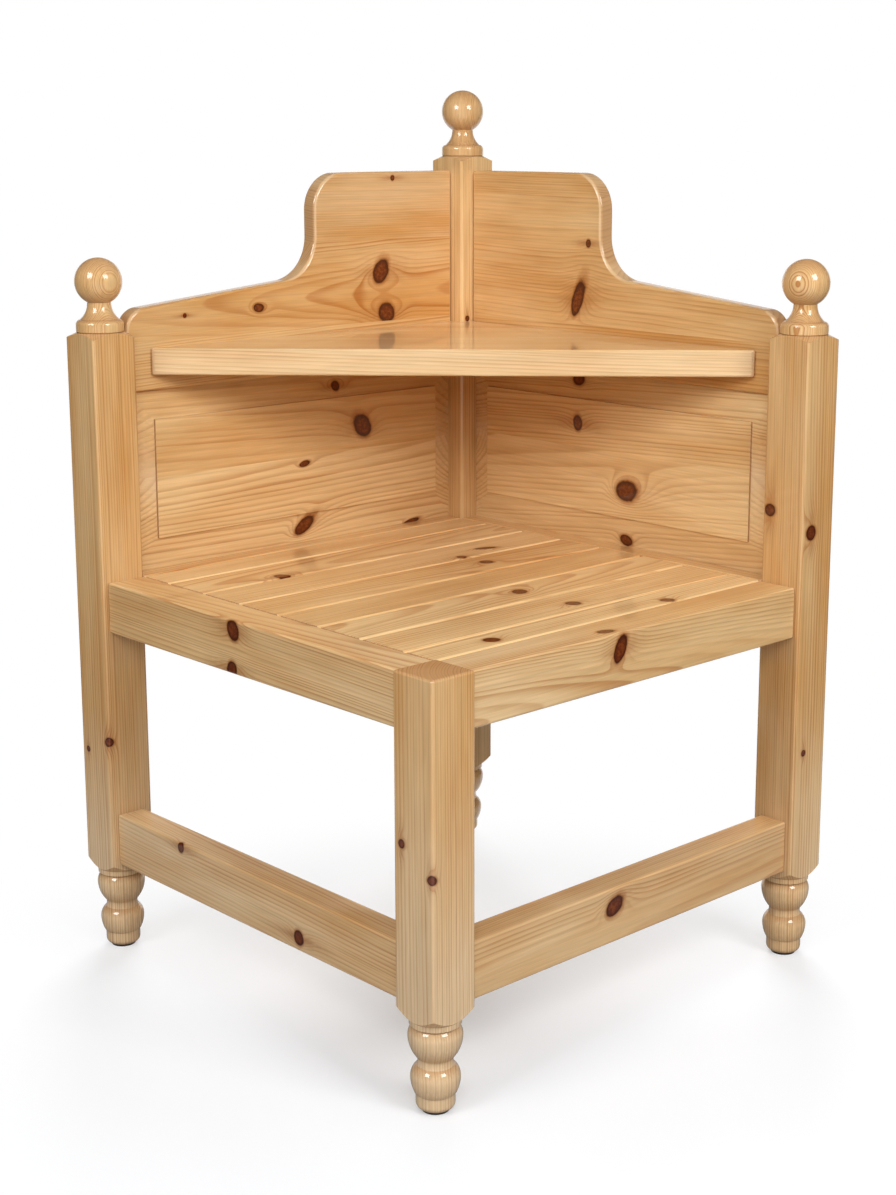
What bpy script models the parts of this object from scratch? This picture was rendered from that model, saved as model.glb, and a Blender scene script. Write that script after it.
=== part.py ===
"""Pine corner piece: slatted seat-height top, two panelled backs and a corner shelf.

It stands in the corner of a room. The plan is a square with a post in each
corner. The front post is short and the other three carry turned ball finials.
World frame in metres, +Z up, origin on the floor under the middle of the plan.
The open front corner is at +X -Y. The left back stands along the -X side and
the right back along the +Y side, and they meet at the tall back post.
"""

import math

import bmesh
import bpy
from mathutils import Matrix, Vector

# Whole piece
SIDE = 0.600
POST = 0.055
SEAT_TOP = 0.441
PANEL_OPENING = 0.2055
GAP = 0.0003
OVERRUN = 0.006
WELD_DISTANCE = 0.00001
QUARTER_TURN = math.pi / 2
ROUND_STEPS = 24
SMALL_ROUND_STEPS = 10

# Posts, each turned into a foot below and, where it is tall, into a shoulder above
FRONT_POST_RISE = 0.002
SIDE_POST_RISE = 0.0035
BACK_POST_RISE = 0.0178
POST_EASE = 0.0035
FRONT_POST_CHAMFER = 0.0025
SHOULDER_RADIUS_SHARE = 0.94
TOP_SHOULDER_SLOPE_SHARE = 0.50
FOOT_SHOULDER_SLOPE_SHARE = 0.90

# Turned foot, from the floor up: heights above the floor, radii as shares of half a post
GLIDE_THICKNESS = 0.002
HEEL_ROUND_TOP = 0.009
HEEL_TOP = 0.019
LOWER_BULB_MIDDLE = 0.0355
LOWER_BULB_TOP = 0.048
NECK_MIDDLE = 0.0515
NECK_TOP = 0.056
UPPER_BULB_MIDDLE = 0.079
UPPER_BULB_TOP = 0.090
RING_TOP = 0.0965
SOLE_RADIUS_SHARE = 0.53
HEEL_RADIUS_SHARE = 0.71
LOWER_BULB_FOOT_SHARE = 0.76
LOWER_BULB_RADIUS_SHARE = 0.90
LOWER_BULB_TOP_SHARE = 0.67
NECK_RADIUS_SHARE = 0.64
UPPER_BULB_FOOT_SHARE = 0.665
UPPER_BULB_RADIUS_SHARE = 0.985
UPPER_BULB_TOP_SHARE = 0.82
RING_RADIUS_SHARE = 0.93
GLIDE_RADIUS_SHARE = 0.95
GLIDE_NAIL_RADIUS = 0.0015
GLIDE_NAIL_LENGTH = 0.010

# Ball finials: heights above the top of the post, radii as shares of half a post
FINIAL_COLLAR_TOP = 0.0135
FINIAL_COLLAR_EASE = 0.0045
FINIAL_COVE_SHARE = 0.76
FINIAL_NECK_SHARE = 0.475
FINIAL_COLLAR_SHARE = 0.953
FINIAL_BALL_SHARE = 0.95
FINIAL_BALL_CENTRE = 0.0545
FINIAL_SPIGOT_RADIUS = 0.008
FINIAL_SPIGOT_LENGTH = 0.020

# Seat rails on all four sides and the two front stretchers
RAIL_HEIGHT = 0.0575
RAIL_SETBACK = 0.0065
RAIL_EASE = 0.003
RAIL_TENON_HEIGHT = 0.036
STRETCHER_TOP = 0.1693
STRETCHER_HEIGHT = 0.060
STRETCHER_THICKNESS = 0.035
STRETCHER_SETBACK = 0.008
STRETCHER_TENON_HEIGHT = 0.040
TENON_SETBACK = 0.018
TENON_THICKNESS = 0.012
TENON_LENGTH = 0.020

# Seat slats and the cleats under their ends
SLAT_COUNT = 8
FRONT_SLAT_SHARE = 0.681
BACK_SLAT_SHARE = 0.736
SLAT_GAP = 0.0008
SLAT_THICKNESS = 0.016
SLAT_CHAMFER = 0.003
SLAT_END_GAP = 0.0008
CLEAT_WIDTH = 0.020
CLEAT_HEIGHT = 0.022
CLEAT_SHORTENING = 0.012
CLEAT_EASE = 0.001
CLEAT_SCREW_SHARES = (-0.36, 0.0, 0.36)

# Back boards with a scrolled top edge
BOARD_THICKNESS = 0.022
BOARD_RECESS = 0.0185
BOARD_HEIGHT = 0.2372
BOARD_END_HEIGHT = 0.067
BOARD_HIGH_WIDTH = 0.2215
BOARD_CORNER_RADIUS = 0.0435
BOARD_COVE_RADIUS = 0.051
BOARD_END_RADIUS = 0.0265
BOARD_SLOPE_SHARE = 0.098
BOARD_EASE = 0.003
BOARD_TONGUE_STOP = 0.010
ARC_SEGMENTS = 7

# Raised and fielded panels below the boards
TONGUE_THICKNESS = 0.008
TONGUE_LENGTH = 0.007
PANEL_MARGIN = 0.032
PANEL_BOTTOM_MARGIN = 0.0365
PANEL_BEVEL_RISE = 0.008
PANEL_STEP = 0.003
PANEL_EASE = 0.0006

# Corner shelf and the two bearers that carry it
SHELF_THICKNESS = 0.030
SHELF_REACH = 0.4775
SHELF_TIP_WIDTH = 0.005
SHELF_EASE = 0.002
BEARER_WIDTH = 0.018
BEARER_HEIGHT = 0.018
BEARER_LENGTH = 0.220
BEARER_BACK_CLEARANCE = 0.024
BEARER_SCREW_SHARES = (-0.36, 0.36)

# Countersunk screws
SCREW_HEAD_RADIUS = 0.004
SCREW_SHANK_RADIUS = 0.002
SCREW_LENGTH = 0.031
SCREW_POINT_LENGTH = 0.004
SCREW_SINK = 0.0005
SCREW_EDGE = 0.0025

# Places that several pieces share
HALF_SIDE = SIDE / 2
HALF_POST = POST / 2
INNER = HALF_SIDE - POST
SPAN = 2 * INNER
POST_CENTRE = HALF_SIDE - HALF_POST
WALL_DEPTH = BOARD_RECESS + BOARD_THICKNESS / 2
WALL = INNER + WALL_DEPTH
BOARD_FACE = INNER + BOARD_RECESS
CLEAT_TOP = SEAT_TOP - SLAT_THICKNESS - GAP
GROOVE_DEPTH = TONGUE_LENGTH + GAP

# Heights that stack on the seat: panels, boards, posts' tops, bearers and shelf
BOARD_BOTTOM = SEAT_TOP + PANEL_OPENING
BOARD_END_TOP = BOARD_BOTTOM + BOARD_END_HEIGHT
BOARD_TOP = BOARD_BOTTOM + BOARD_HEIGHT
BEARER_TOP = BOARD_BOTTOM + BEARER_HEIGHT
SHELF_BOTTOM = BEARER_TOP + GAP
SHELF_TOP = SHELF_BOTTOM + SHELF_THICKNESS

# Corners in turn round the plan; side k of the seat joins post k to the next one
POST_NAMES = ("left", "front", "right", "back")
SIDE_NAMES = ("front_left", "front_right", "back_right", "back_left")
POST_TOPS = {
    "left": BOARD_END_TOP + SIDE_POST_RISE,
    "front": SEAT_TOP + FRONT_POST_RISE,
    "right": BOARD_END_TOP + SIDE_POST_RISE,
    "back": BOARD_TOP + BACK_POST_RISE,
}


def clear_scene():
    """Take every object out of the open file."""
    for item in list(bpy.data.objects):
        bpy.data.objects.remove(item, do_unlink=True)


def make_collection(name):
    """Return a new collection linked to the scene."""
    group = bpy.data.collections.new(name)
    bpy.context.scene.collection.children.link(group)
    return group


def make_material(name, colour, roughness, metallic):
    """Return a plain material of one colour."""
    material = bpy.data.materials.new(name)
    material.use_nodes = True
    shader = material.node_tree.nodes["Principled BSDF"]
    shader.inputs["Base Color"].default_value = (*colour, 1.0)
    shader.inputs["Roughness"].default_value = roughness
    shader.inputs["Metallic"].default_value = metallic
    material.diffuse_color = (*colour, 1.0)
    return material


def turned_about_middle(place, angle):
    """Return a place swung about the middle of the plan."""
    return Matrix.Rotation(angle, 3, "Z") @ Vector(place)


def mirrored(place):
    """Return a place of the right back moved to the left back."""
    along, across, height = place
    return (-across, -along, height)


def file_in(item, group):
    """Move an object from wherever it is linked into one collection."""
    for holder in list(item.users_collection):
        holder.objects.unlink(item)
    group.objects.link(item)


def finish(item, name, material):
    """Name a real piece, give it its material and file it with the others."""
    item.name = name
    item.data.name = name
    item.data.materials.clear()
    item.data.materials.append(material)
    item.parent = frame_empty
    file_in(item, pieces)
    return item


def as_cutter(item, name):
    """File an object as a tool that shapes others and is never seen."""
    item.name = name
    item.hide_render = True
    item.display_type = "WIRE"
    file_in(item, cutters)
    return item


def add_box(size, centre, angle=0.0):
    """Add a box by its full sizes, turned about its own upright axis."""
    bpy.ops.mesh.primitive_cube_add(size=1, location=centre)
    item = bpy.context.object
    item.scale = size
    bpy.ops.object.transform_apply(location=False, rotation=False, scale=True)
    item.rotation_euler.z = angle
    return item


def add_turned(profile, centre, steps):
    """Add a turned solid: (radius, height) points from its top to its bottom."""
    mesh = bpy.data.meshes.new("turning")
    corners = [(radius, 0, height) for radius, height in profile]
    edges = [(k, k + 1) for k in range(len(corners) - 1)]
    mesh.from_pydata(corners, edges, [])
    item = bpy.data.objects.new("turning", mesh)
    item.location = centre
    bpy.context.scene.collection.objects.link(item)
    screw = item.modifiers.new("turn", "SCREW")
    screw.axis = "Z"
    screw.steps = steps
    screw.render_steps = steps
    screw.use_merge_vertices = True
    screw.merge_threshold = WELD_DISTANCE
    screw.use_smooth_shade = True
    return item


def add_outline(points, thickness, centre, rotation):
    """Add a flat plate from its outline, as a closed mesh."""
    curve = bpy.data.curves.new("outline", "CURVE")
    curve.dimensions = "2D"
    curve.fill_mode = "BOTH"
    curve.extrude = thickness / 2
    line = curve.splines.new("POLY")
    line.points.add(len(points) - 1)
    for point, (along, up) in zip(line.points, points):
        point.co = (along, up, 0, 1)
    line.use_cyclic_u = True
    flat = bpy.data.objects.new("outline", curve)
    flat.location = centre
    flat.rotation_euler = rotation
    bpy.context.scene.collection.objects.link(flat)
    bpy.context.view_layer.update()
    evaluated = flat.evaluated_get(bpy.context.evaluated_depsgraph_get())
    mesh = bpy.data.meshes.new_from_object(evaluated)
    shape = bmesh.new()
    shape.from_mesh(mesh)
    bmesh.ops.remove_doubles(shape, verts=shape.verts, dist=WELD_DISTANCE)
    bmesh.ops.dissolve_limit(
        shape, angle_limit=math.radians(1), verts=shape.verts, edges=shape.edges
    )
    bmesh.ops.recalc_face_normals(shape, faces=shape.faces)
    shape.to_mesh(mesh)
    shape.free()
    item = bpy.data.objects.new("plate", mesh)
    item.matrix_world = flat.matrix_world.copy()
    bpy.context.scene.collection.objects.link(item)
    bpy.data.objects.remove(flat, do_unlink=True)
    bpy.data.curves.remove(curve)
    return item


def ease_edges(item, width, segments=2, angle=math.radians(40)):
    """Round the sharp edges of a piece."""
    bevel = item.modifiers.new("eased edges", "BEVEL")
    bevel.width = width
    bevel.segments = segments
    bevel.limit_method = "ANGLE"
    bevel.angle_limit = angle
    return bevel


def combine(item, tool, operation):
    """Join, cut or trim a piece with a tool object."""
    change = item.modifiers.new(operation.lower() + " " + tool.name, "BOOLEAN")
    change.operation = operation
    change.solver = "EXACT"
    change.object = tool
    return change


def shade_round(item):
    """Shade a turned piece smooth, with its crisp lines kept."""
    item.data.shade_smooth()
    item.data.set_sharp_from_angle(angle=math.radians(35))


def arc(centre, radius, start, end, segments):
    """Return the points of an arc, angles in radians."""
    points = []
    for k in range(segments + 1):
        angle = start + (end - start) * k / segments
        points.append(
            (centre[0] + radius * math.cos(angle), centre[1] + radius * math.sin(angle))
        )
    return points


def bow(upright, end, segments):
    """Return points from where a curve stands upright to its other end.

    Both are (radius, height). The curve is the circle's arc that is upright
    at the first point and passes through the second.
    """
    swing = end[0] - upright[0]
    rise = end[1] - upright[1]
    radius = (swing * swing + rise * rise) / (2 * abs(swing))
    sign = math.copysign(1, swing)
    points = []
    for k in range(segments + 1):
        height = rise * k / segments
        inward = radius - math.sqrt(radius * radius - height * height)
        points.append((upright[0] + sign * inward, upright[1] + height))
    return points


def foot_profile():
    """Return the turned foot, from the square's lower shoulder to the sole."""
    half = HALF_POST
    shoulder = half * SHOULDER_RADIUS_SHARE
    clear = POST
    sole = half * SOLE_RADIUS_SHARE
    heel = half * HEEL_RADIUS_SHARE
    upper_peak = (half * UPPER_BULB_RADIUS_SHARE, UPPER_BULB_MIDDLE)
    upper_top = (half * UPPER_BULB_TOP_SHARE, UPPER_BULB_TOP)
    upper_foot = (half * UPPER_BULB_FOOT_SHARE, NECK_TOP)
    lower_peak = (half * LOWER_BULB_RADIUS_SHARE, LOWER_BULB_MIDDLE)
    lower_top = (half * LOWER_BULB_TOP_SHARE, LOWER_BULB_TOP)
    lower_foot = (half * LOWER_BULB_FOOT_SHARE, HEEL_TOP)
    profile = [
        (clear, RING_TOP + (clear - shoulder) * FOOT_SHOULDER_SLOPE_SHARE),
        (shoulder, RING_TOP),
        (half * RING_RADIUS_SHARE, UPPER_BULB_TOP),
    ]
    profile += reversed(bow(upper_peak, upper_top, 2)[:-1])
    profile += bow(upper_peak, upper_foot, 3)[1:]
    profile.append((half * NECK_RADIUS_SHARE, NECK_MIDDLE))
    profile += reversed(bow(lower_peak, lower_top, 2))
    profile += bow(lower_peak, lower_foot, 3)[1:]
    profile.append((heel, HEEL_TOP))
    profile += bow((heel, HEEL_ROUND_TOP), (sole, GLIDE_THICKNESS + GAP), 2)
    profile.append((0, GLIDE_THICKNESS + GAP))
    return profile


def post_envelope(name, top):
    """Return the turned shape that trims a square post at both ends."""
    clear = POST
    if name == "front":
        head = [(0, top + OVERRUN), (clear, top + OVERRUN)]
    else:
        shoulder = HALF_POST * SHOULDER_RADIUS_SHARE
        drop = (clear - shoulder) * TOP_SHOULDER_SLOPE_SHARE
        head = [(0, top), (shoulder, top), (clear, top - drop)]
    return head + foot_profile()


def build_posts(wood):
    """Make the four square posts with their turned feet."""
    posts = {}
    for k, name in enumerate(POST_NAMES):
        top = POST_TOPS[name]
        if name == "front":
            blank_top = top
        else:
            blank_top = top + OVERRUN
        place = turned_about_middle((-POST_CENTRE, -POST_CENTRE, 0), k * QUARTER_TURN)
        blank_bottom = GLIDE_THICKNESS - OVERRUN
        size = (POST, POST, blank_top - blank_bottom)
        centre = (place.x, place.y, (blank_top + blank_bottom) / 2)
        post = add_box(size, centre)
        ease_edges(post, POST_EASE if name != "front" else FRONT_POST_CHAMFER, 2)
        envelope = as_cutter(
            add_turned(post_envelope(name, top), place, ROUND_STEPS), name + "_envelope"
        )
        combine(post, envelope, "INTERSECT")
        posts[name] = finish(post, "post_" + name, wood)
    return posts


def finial_profile():
    """Return a ball finial from its crown to the end of its spigot."""
    half = HALF_POST
    ball = half * FINIAL_BALL_SHARE
    neck = half * FINIAL_NECK_SHARE
    collar = half * FINIAL_COLLAR_SHARE
    cove = half * FINIAL_COVE_SHARE
    neck_height = FINIAL_BALL_CENTRE - math.sqrt(ball * ball - neck * neck)
    low_angle = math.asin((neck_height - FINIAL_BALL_CENTRE) / ball)
    profile = arc((0, FINIAL_BALL_CENTRE), ball, QUARTER_TURN, low_angle, 9)
    profile[0] = (0, profile[0][1])
    profile += bow((neck, neck_height - GAP), (cove, FINIAL_COLLAR_TOP), 3)[1:]
    ease = (collar - FINIAL_COLLAR_EASE, FINIAL_COLLAR_TOP - FINIAL_COLLAR_EASE)
    profile += arc(ease, FINIAL_COLLAR_EASE, QUARTER_TURN, 0, 2)
    profile += [
        (collar, GAP),
        (FINIAL_SPIGOT_RADIUS, GAP),
        (FINIAL_SPIGOT_RADIUS, -FINIAL_SPIGOT_LENGTH),
        (0, -FINIAL_SPIGOT_LENGTH),
    ]
    return profile


def build_finials(posts, wood):
    """Make the three ball finials and bore the posts for their spigots."""
    for name in ("left", "right", "back"):
        place = posts[name].location.copy()
        place.z = POST_TOPS[name]
        finial = add_turned(finial_profile(), place, ROUND_STEPS)
        shade_round(finial)
        finish(finial, "finial_" + name, wood)
        radius = FINIAL_SPIGOT_RADIUS + GAP
        depth = FINIAL_SPIGOT_LENGTH + GAP
        bore_profile = [(0, OVERRUN), (radius, OVERRUN), (radius, -depth), (0, -depth)]
        bore = as_cutter(add_turned(bore_profile, place, ROUND_STEPS), name + "_bore")
        combine(posts[name], bore, "DIFFERENCE")


def build_glides(posts, plastic):
    """Make the thin dark glides nailed under the feet."""
    radius = HALF_POST * SOLE_RADIUS_SHARE * GLIDE_RADIUS_SHARE
    nail = GLIDE_NAIL_RADIUS
    tip = GLIDE_THICKNESS + GLIDE_NAIL_LENGTH
    profile = [
        (0, tip),
        (nail, tip),
        (nail, GLIDE_THICKNESS),
        (radius, GLIDE_THICKNESS),
        (radius, 0),
        (0, 0),
    ]
    hole_radius = nail + GAP
    hole_profile = [
        (0, tip + GAP),
        (hole_radius, tip + GAP),
        (hole_radius, GLIDE_THICKNESS - OVERRUN),
        (0, GLIDE_THICKNESS - OVERRUN),
    ]
    for name, post in posts.items():
        place = post.location.copy()
        place.z = 0
        glide = add_turned(profile, place, ROUND_STEPS)
        shade_round(glide)
        finish(glide, "glide_" + name, plastic)
        hole = add_turned(hole_profile, place, SMALL_ROUND_STEPS)
        combine(post, as_cutter(hole, name + "_nail_hole"), "DIFFERENCE")


def build_bar(name, k, posts, sizes, wood):
    """Make a rail or stretcher with a stub tenon at each end.

    sizes are its setback from the posts' outer faces, its thickness, top,
    height and the height of its tenons.
    """
    setback, thickness, top, height, tenon_height = sizes
    angle = k * QUARTER_TURN
    middle = top - height / 2
    across = setback + thickness / 2 - HALF_SIDE
    length = SPAN - 2 * GAP
    place = turned_about_middle((0, across, middle), angle)
    bar = add_box((length, thickness, height), place, angle)
    ease_edges(bar, RAIL_EASE)
    tenon_across = TENON_SETBACK + TENON_THICKNESS / 2 - HALF_SIDE
    root = min(POST, length / 4)
    for end, post in ((-1, POST_NAMES[k]), (1, POST_NAMES[(k + 1) % 4])):
        reach = TENON_LENGTH + root
        along = end * (INNER + TENON_LENGTH - reach / 2)
        place = turned_about_middle((along, tenon_across, middle), angle)
        tenon = add_box((reach, TENON_THICKNESS, tenon_height), place, angle)
        combine(bar, as_cutter(tenon, name + "_tenon_" + post), "UNION")
        depth = TENON_LENGTH + GAP
        along = end * (INNER + (depth - OVERRUN) / 2)
        size = (depth + OVERRUN, TENON_THICKNESS + 2 * GAP, tenon_height + 2 * GAP)
        place = turned_about_middle((along, tenon_across, middle), angle)
        mortise = as_cutter(add_box(size, place, angle), name + "_mortise_" + post)
        combine(posts[post], mortise, "DIFFERENCE")
    return finish(bar, name, wood)


def build_rails(posts, wood):
    """Make the four seat rails, level at the top and flush inside."""
    rails = {}
    sizes = (RAIL_SETBACK, POST - RAIL_SETBACK, SEAT_TOP, RAIL_HEIGHT, RAIL_TENON_HEIGHT)
    for k, side in enumerate(SIDE_NAMES):
        rails[side] = build_bar("rail_" + side, k, posts, sizes, wood)
    return rails


def build_stretchers(posts, wood):
    """Make the two low stretchers that run to the front post."""
    sizes = (
        STRETCHER_SETBACK,
        STRETCHER_THICKNESS,
        STRETCHER_TOP,
        STRETCHER_HEIGHT,
        STRETCHER_TENON_HEIGHT,
    )
    build_bar("stretcher_left", 0, posts, sizes, wood)
    build_bar("stretcher_right", 1, posts, sizes, wood)


def slat_widths():
    """Return the widths of the slats from the front right rail back.

    The slats in the middle are full, and the two outer ones are ripped down
    to a share of that width.
    """
    shares = [FRONT_SLAT_SHARE] + [1] * (SLAT_COUNT - 2) + [BACK_SLAT_SHARE]
    room = SPAN - 2 * GAP - (SLAT_COUNT - 1) * SLAT_GAP
    return [room * share / sum(shares) for share in shares]


def chamfer_slat(slat):
    """Chamfer the two upper long edges of a slat, which run along Y."""
    shape = bmesh.new()
    shape.from_mesh(slat.data)
    upper = [edge for edge in shape.edges if all(corner.co.z > 0 for corner in edge.verts)]
    long_edges = [edge for edge in upper if edge.verts[0].co.x * edge.verts[1].co.x > 0]
    bmesh.ops.bevel(shape, geom=long_edges, offset=SLAT_CHAMFER, segments=1, affect="EDGES")
    shape.to_mesh(slat.data)
    shape.free()


def build_slats(wood):
    """Make the seat slats, which run along Y between the rails."""
    edge = INNER - GAP
    length = SPAN - 2 * SLAT_END_GAP
    height = SEAT_TOP - SLAT_THICKNESS / 2
    for k, width in enumerate(slat_widths()):
        slat = add_box((width, length, SLAT_THICKNESS), (edge - width / 2, 0, height))
        chamfer_slat(slat)
        finish(slat, "slat_" + str(k + 1), wood)
        edge -= width + SLAT_GAP


def screw_profile(spare):
    """Return a countersunk screw, head up, or its hole when spare is set."""
    head = SCREW_HEAD_RADIUS + spare
    shank = SCREW_SHANK_RADIUS + spare
    top = OVERRUN if spare else 0
    neck = SCREW_SHANK_RADIUS - SCREW_HEAD_RADIUS
    end = -SCREW_LENGTH - spare
    return [
        (0, top),
        (head, top),
        (head, 0),
        (shank, neck),
        (shank, end + SCREW_POINT_LENGTH),
        (0, end),
    ]


def drive_screw(name, place, rotation, targets, steel):
    """Put a screw through the pieces it holds and bore them for it."""
    screw = add_turned(screw_profile(0), place, SMALL_ROUND_STEPS)
    screw.rotation_euler = rotation
    shade_round(screw)
    finish(screw, name, steel)
    hole = add_turned(screw_profile(GAP), place, SMALL_ROUND_STEPS)
    hole.rotation_euler = rotation
    as_cutter(hole, name + "_hole")
    for target in targets:
        combine(target, hole, "DIFFERENCE")


def build_cleats(rails, wood, steel):
    """Make the two cleats that carry the slats' ends, screwed to the rails."""
    length = SPAN - 2 * CLEAT_SHORTENING
    middle = CLEAT_TOP - CLEAT_HEIGHT / 2
    for side, sign in (("front_left", -1), ("back_right", 1)):
        across = sign * (INNER - GAP - CLEAT_WIDTH / 2)
        cleat = add_box((length, CLEAT_WIDTH, CLEAT_HEIGHT), (0, across, middle))
        ease_edges(cleat, CLEAT_EASE, 1)
        finish(cleat, "cleat_" + side, wood)
        face = sign * (INNER - GAP - CLEAT_WIDTH + SCREW_SINK)
        for number, share in enumerate(CLEAT_SCREW_SHARES, 1):
            drive_screw(
                "cleat_screw_" + side + "_" + str(number),
                (share * length, face, middle),
                (sign * QUARTER_TURN, 0, 0),
                (cleat, rails[side]),
                steel,
            )


def board_outline():
    """Return the scrolled board: distance from the back post, height."""
    slope = math.atan(BOARD_SLOPE_SHARE)
    end_centre = (SPAN - GAP - BOARD_END_RADIUS, BOARD_END_TOP)
    end_arc = arc(end_centre, BOARD_END_RADIUS, 0, QUARTER_TURN - slope, ARC_SEGMENTS)
    run_start = end_arc[-1]
    cove_along = BOARD_HIGH_WIDTH + BOARD_COVE_RADIUS
    rise = BOARD_COVE_RADIUS - (cove_along - run_start[0]) * math.sin(slope)
    cove_centre = (cove_along, run_start[1] + rise / math.cos(slope))
    cove_arc = arc(
        cove_centre, BOARD_COVE_RADIUS, 3 * QUARTER_TURN - slope, math.pi, ARC_SEGMENTS
    )
    corner_centre = (BOARD_HIGH_WIDTH - BOARD_CORNER_RADIUS, BOARD_TOP - BOARD_CORNER_RADIUS)
    corner_arc = arc(corner_centre, BOARD_CORNER_RADIUS, 0, QUARTER_TURN, ARC_SEGMENTS)
    start = [(GAP, BOARD_BOTTOM), (SPAN - GAP, BOARD_BOTTOM)]
    return start + end_arc + cove_arc + corner_arc + [(GAP, BOARD_TOP)]


def board_tongue(bottom, top, along, spare):
    """Return the sizes and middle of a board's end tongue or of its slot."""
    reach = TONGUE_LENGTH + POST / 2 + spare
    size = (reach, TONGUE_THICKNESS + 2 * spare, top - bottom + 2 * spare)
    if along < 0:
        middle = along - TONGUE_LENGTH - spare + reach / 2
    else:
        middle = along + TONGUE_LENGTH + spare - reach / 2
    return size, (middle, WALL, (top + bottom) / 2)


def build_back(side, posts, rails, wood):
    """Make one back: its scrolled board over its raised panel.

    The right back lies along X at +Y. The left one is its mirror image in the
    diagonal plane through the front and back posts.
    """
    if side == "right":
        board_turn = 0
        board_origin = (-INNER, WALL, 0)
        panel_turn = 0
        rail = rails["back_right"]
    else:
        board_turn = -QUARTER_TURN
        board_origin = (-WALL, INNER, 0)
        panel_turn = QUARTER_TURN
        rail = rails["back_left"]

    board = add_outline(
        board_outline(), BOARD_THICKNESS, board_origin, (QUARTER_TURN, 0, board_turn)
    )
    ease_edges(board, BOARD_EASE)
    finish(board, "board_" + side, wood)

    tongue_bottom = BOARD_BOTTOM + GROOVE_DEPTH + 2 * GAP
    low_top = BOARD_END_TOP - BOARD_TONGUE_STOP
    high_top = BOARD_TOP - BOARD_TONGUE_STOP
    for post, along, top in ((posts["back"], -INNER, high_top), (posts[side], INNER, low_top)):
        for spare, target, operation in ((0, board, "UNION"), (GAP, post, "DIFFERENCE")):
            size, middle = board_tongue(tongue_bottom, top, along, spare)
            if side == "left":
                middle = mirrored(middle)
            tool = add_box(size, middle, panel_turn)
            as_cutter(tool, target.name + "_" + operation.lower() + "_" + side)
            combine(target, tool, operation)

    panel = add_panel()
    panel.rotation_euler.z = panel_turn
    panel_place = (0, WALL, (SEAT_TOP + BOARD_BOTTOM) / 2)
    if side == "left":
        panel_place = mirrored(panel_place)
    panel.location = panel_place
    finish(panel, "panel_" + side, wood)

    length = SPAN + 2 * GROOVE_DEPTH
    height = PANEL_OPENING + 2 * GROOVE_DEPTH
    pocket = add_box((length, TONGUE_THICKNESS + 2 * GAP, height), panel_place, panel_turn)
    as_cutter(pocket, "panel_pocket_" + side)
    for target in (posts["back"], posts[side], rail, board):
        combine(target, pocket, "DIFFERENCE")
    return board


def add_panel():
    """Add a raised and fielded panel that faces -Y, centred on its tongue."""
    length = SPAN + 2 * TONGUE_LENGTH
    height = PANEL_OPENING + 2 * TONGUE_LENGTH
    mesh = bpy.data.meshes.new("panel")
    shape = bmesh.new()
    bmesh.ops.create_cube(shape, size=1)
    bmesh.ops.scale(shape, vec=(length, TONGUE_THICKNESS, height), verts=shape.verts)
    face = min(shape.faces, key=lambda each: each.calc_center_median().y)
    for width in (TONGUE_LENGTH, PANEL_MARGIN):
        bmesh.ops.inset_region(shape, faces=[face], thickness=width, use_even_offset=True)
    bmesh.ops.translate(shape, vec=(0, -PANEL_BEVEL_RISE, 0), verts=face.verts)
    middle = face.calc_center_median().z
    low = [corner for corner in face.verts if corner.co.z < middle]
    bmesh.ops.translate(shape, vec=(0, 0, PANEL_BOTTOM_MARGIN - PANEL_MARGIN), verts=low)
    field = bmesh.ops.extrude_discrete_faces(shape, faces=[face])["faces"][0]
    bmesh.ops.translate(shape, vec=(0, -PANEL_STEP, 0), verts=field.verts)
    bmesh.ops.recalc_face_normals(shape, faces=shape.faces)
    shape.to_mesh(mesh)
    shape.free()
    panel = bpy.data.objects.new("panel", mesh)
    bpy.context.scene.collection.objects.link(panel)
    ease_edges(panel, PANEL_EASE, 1, math.radians(60))
    return panel


def shelf_outline():
    """Return the shelf's plan: a corner triangle notched round the back post."""
    wall = BOARD_FACE - GAP
    post = INNER - GAP
    tip = SHELF_REACH - BOARD_FACE
    shoulder = wall - SHELF_TIP_WIDTH
    return [
        (-wall, -tip),
        (-shoulder, -tip),
        (tip, shoulder),
        (tip, wall),
        (-post, wall),
        (-post, post),
        (-wall, post),
    ]


def build_shelf(wood):
    """Make the three-cornered shelf with its straight front edge."""
    shelf = add_outline(
        shelf_outline(),
        SHELF_THICKNESS,
        (0, 0, SHELF_TOP - SHELF_THICKNESS / 2),
        (0, 0, 0),
    )
    ease_edges(shelf, SHELF_EASE)
    return finish(shelf, "shelf", wood)


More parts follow.
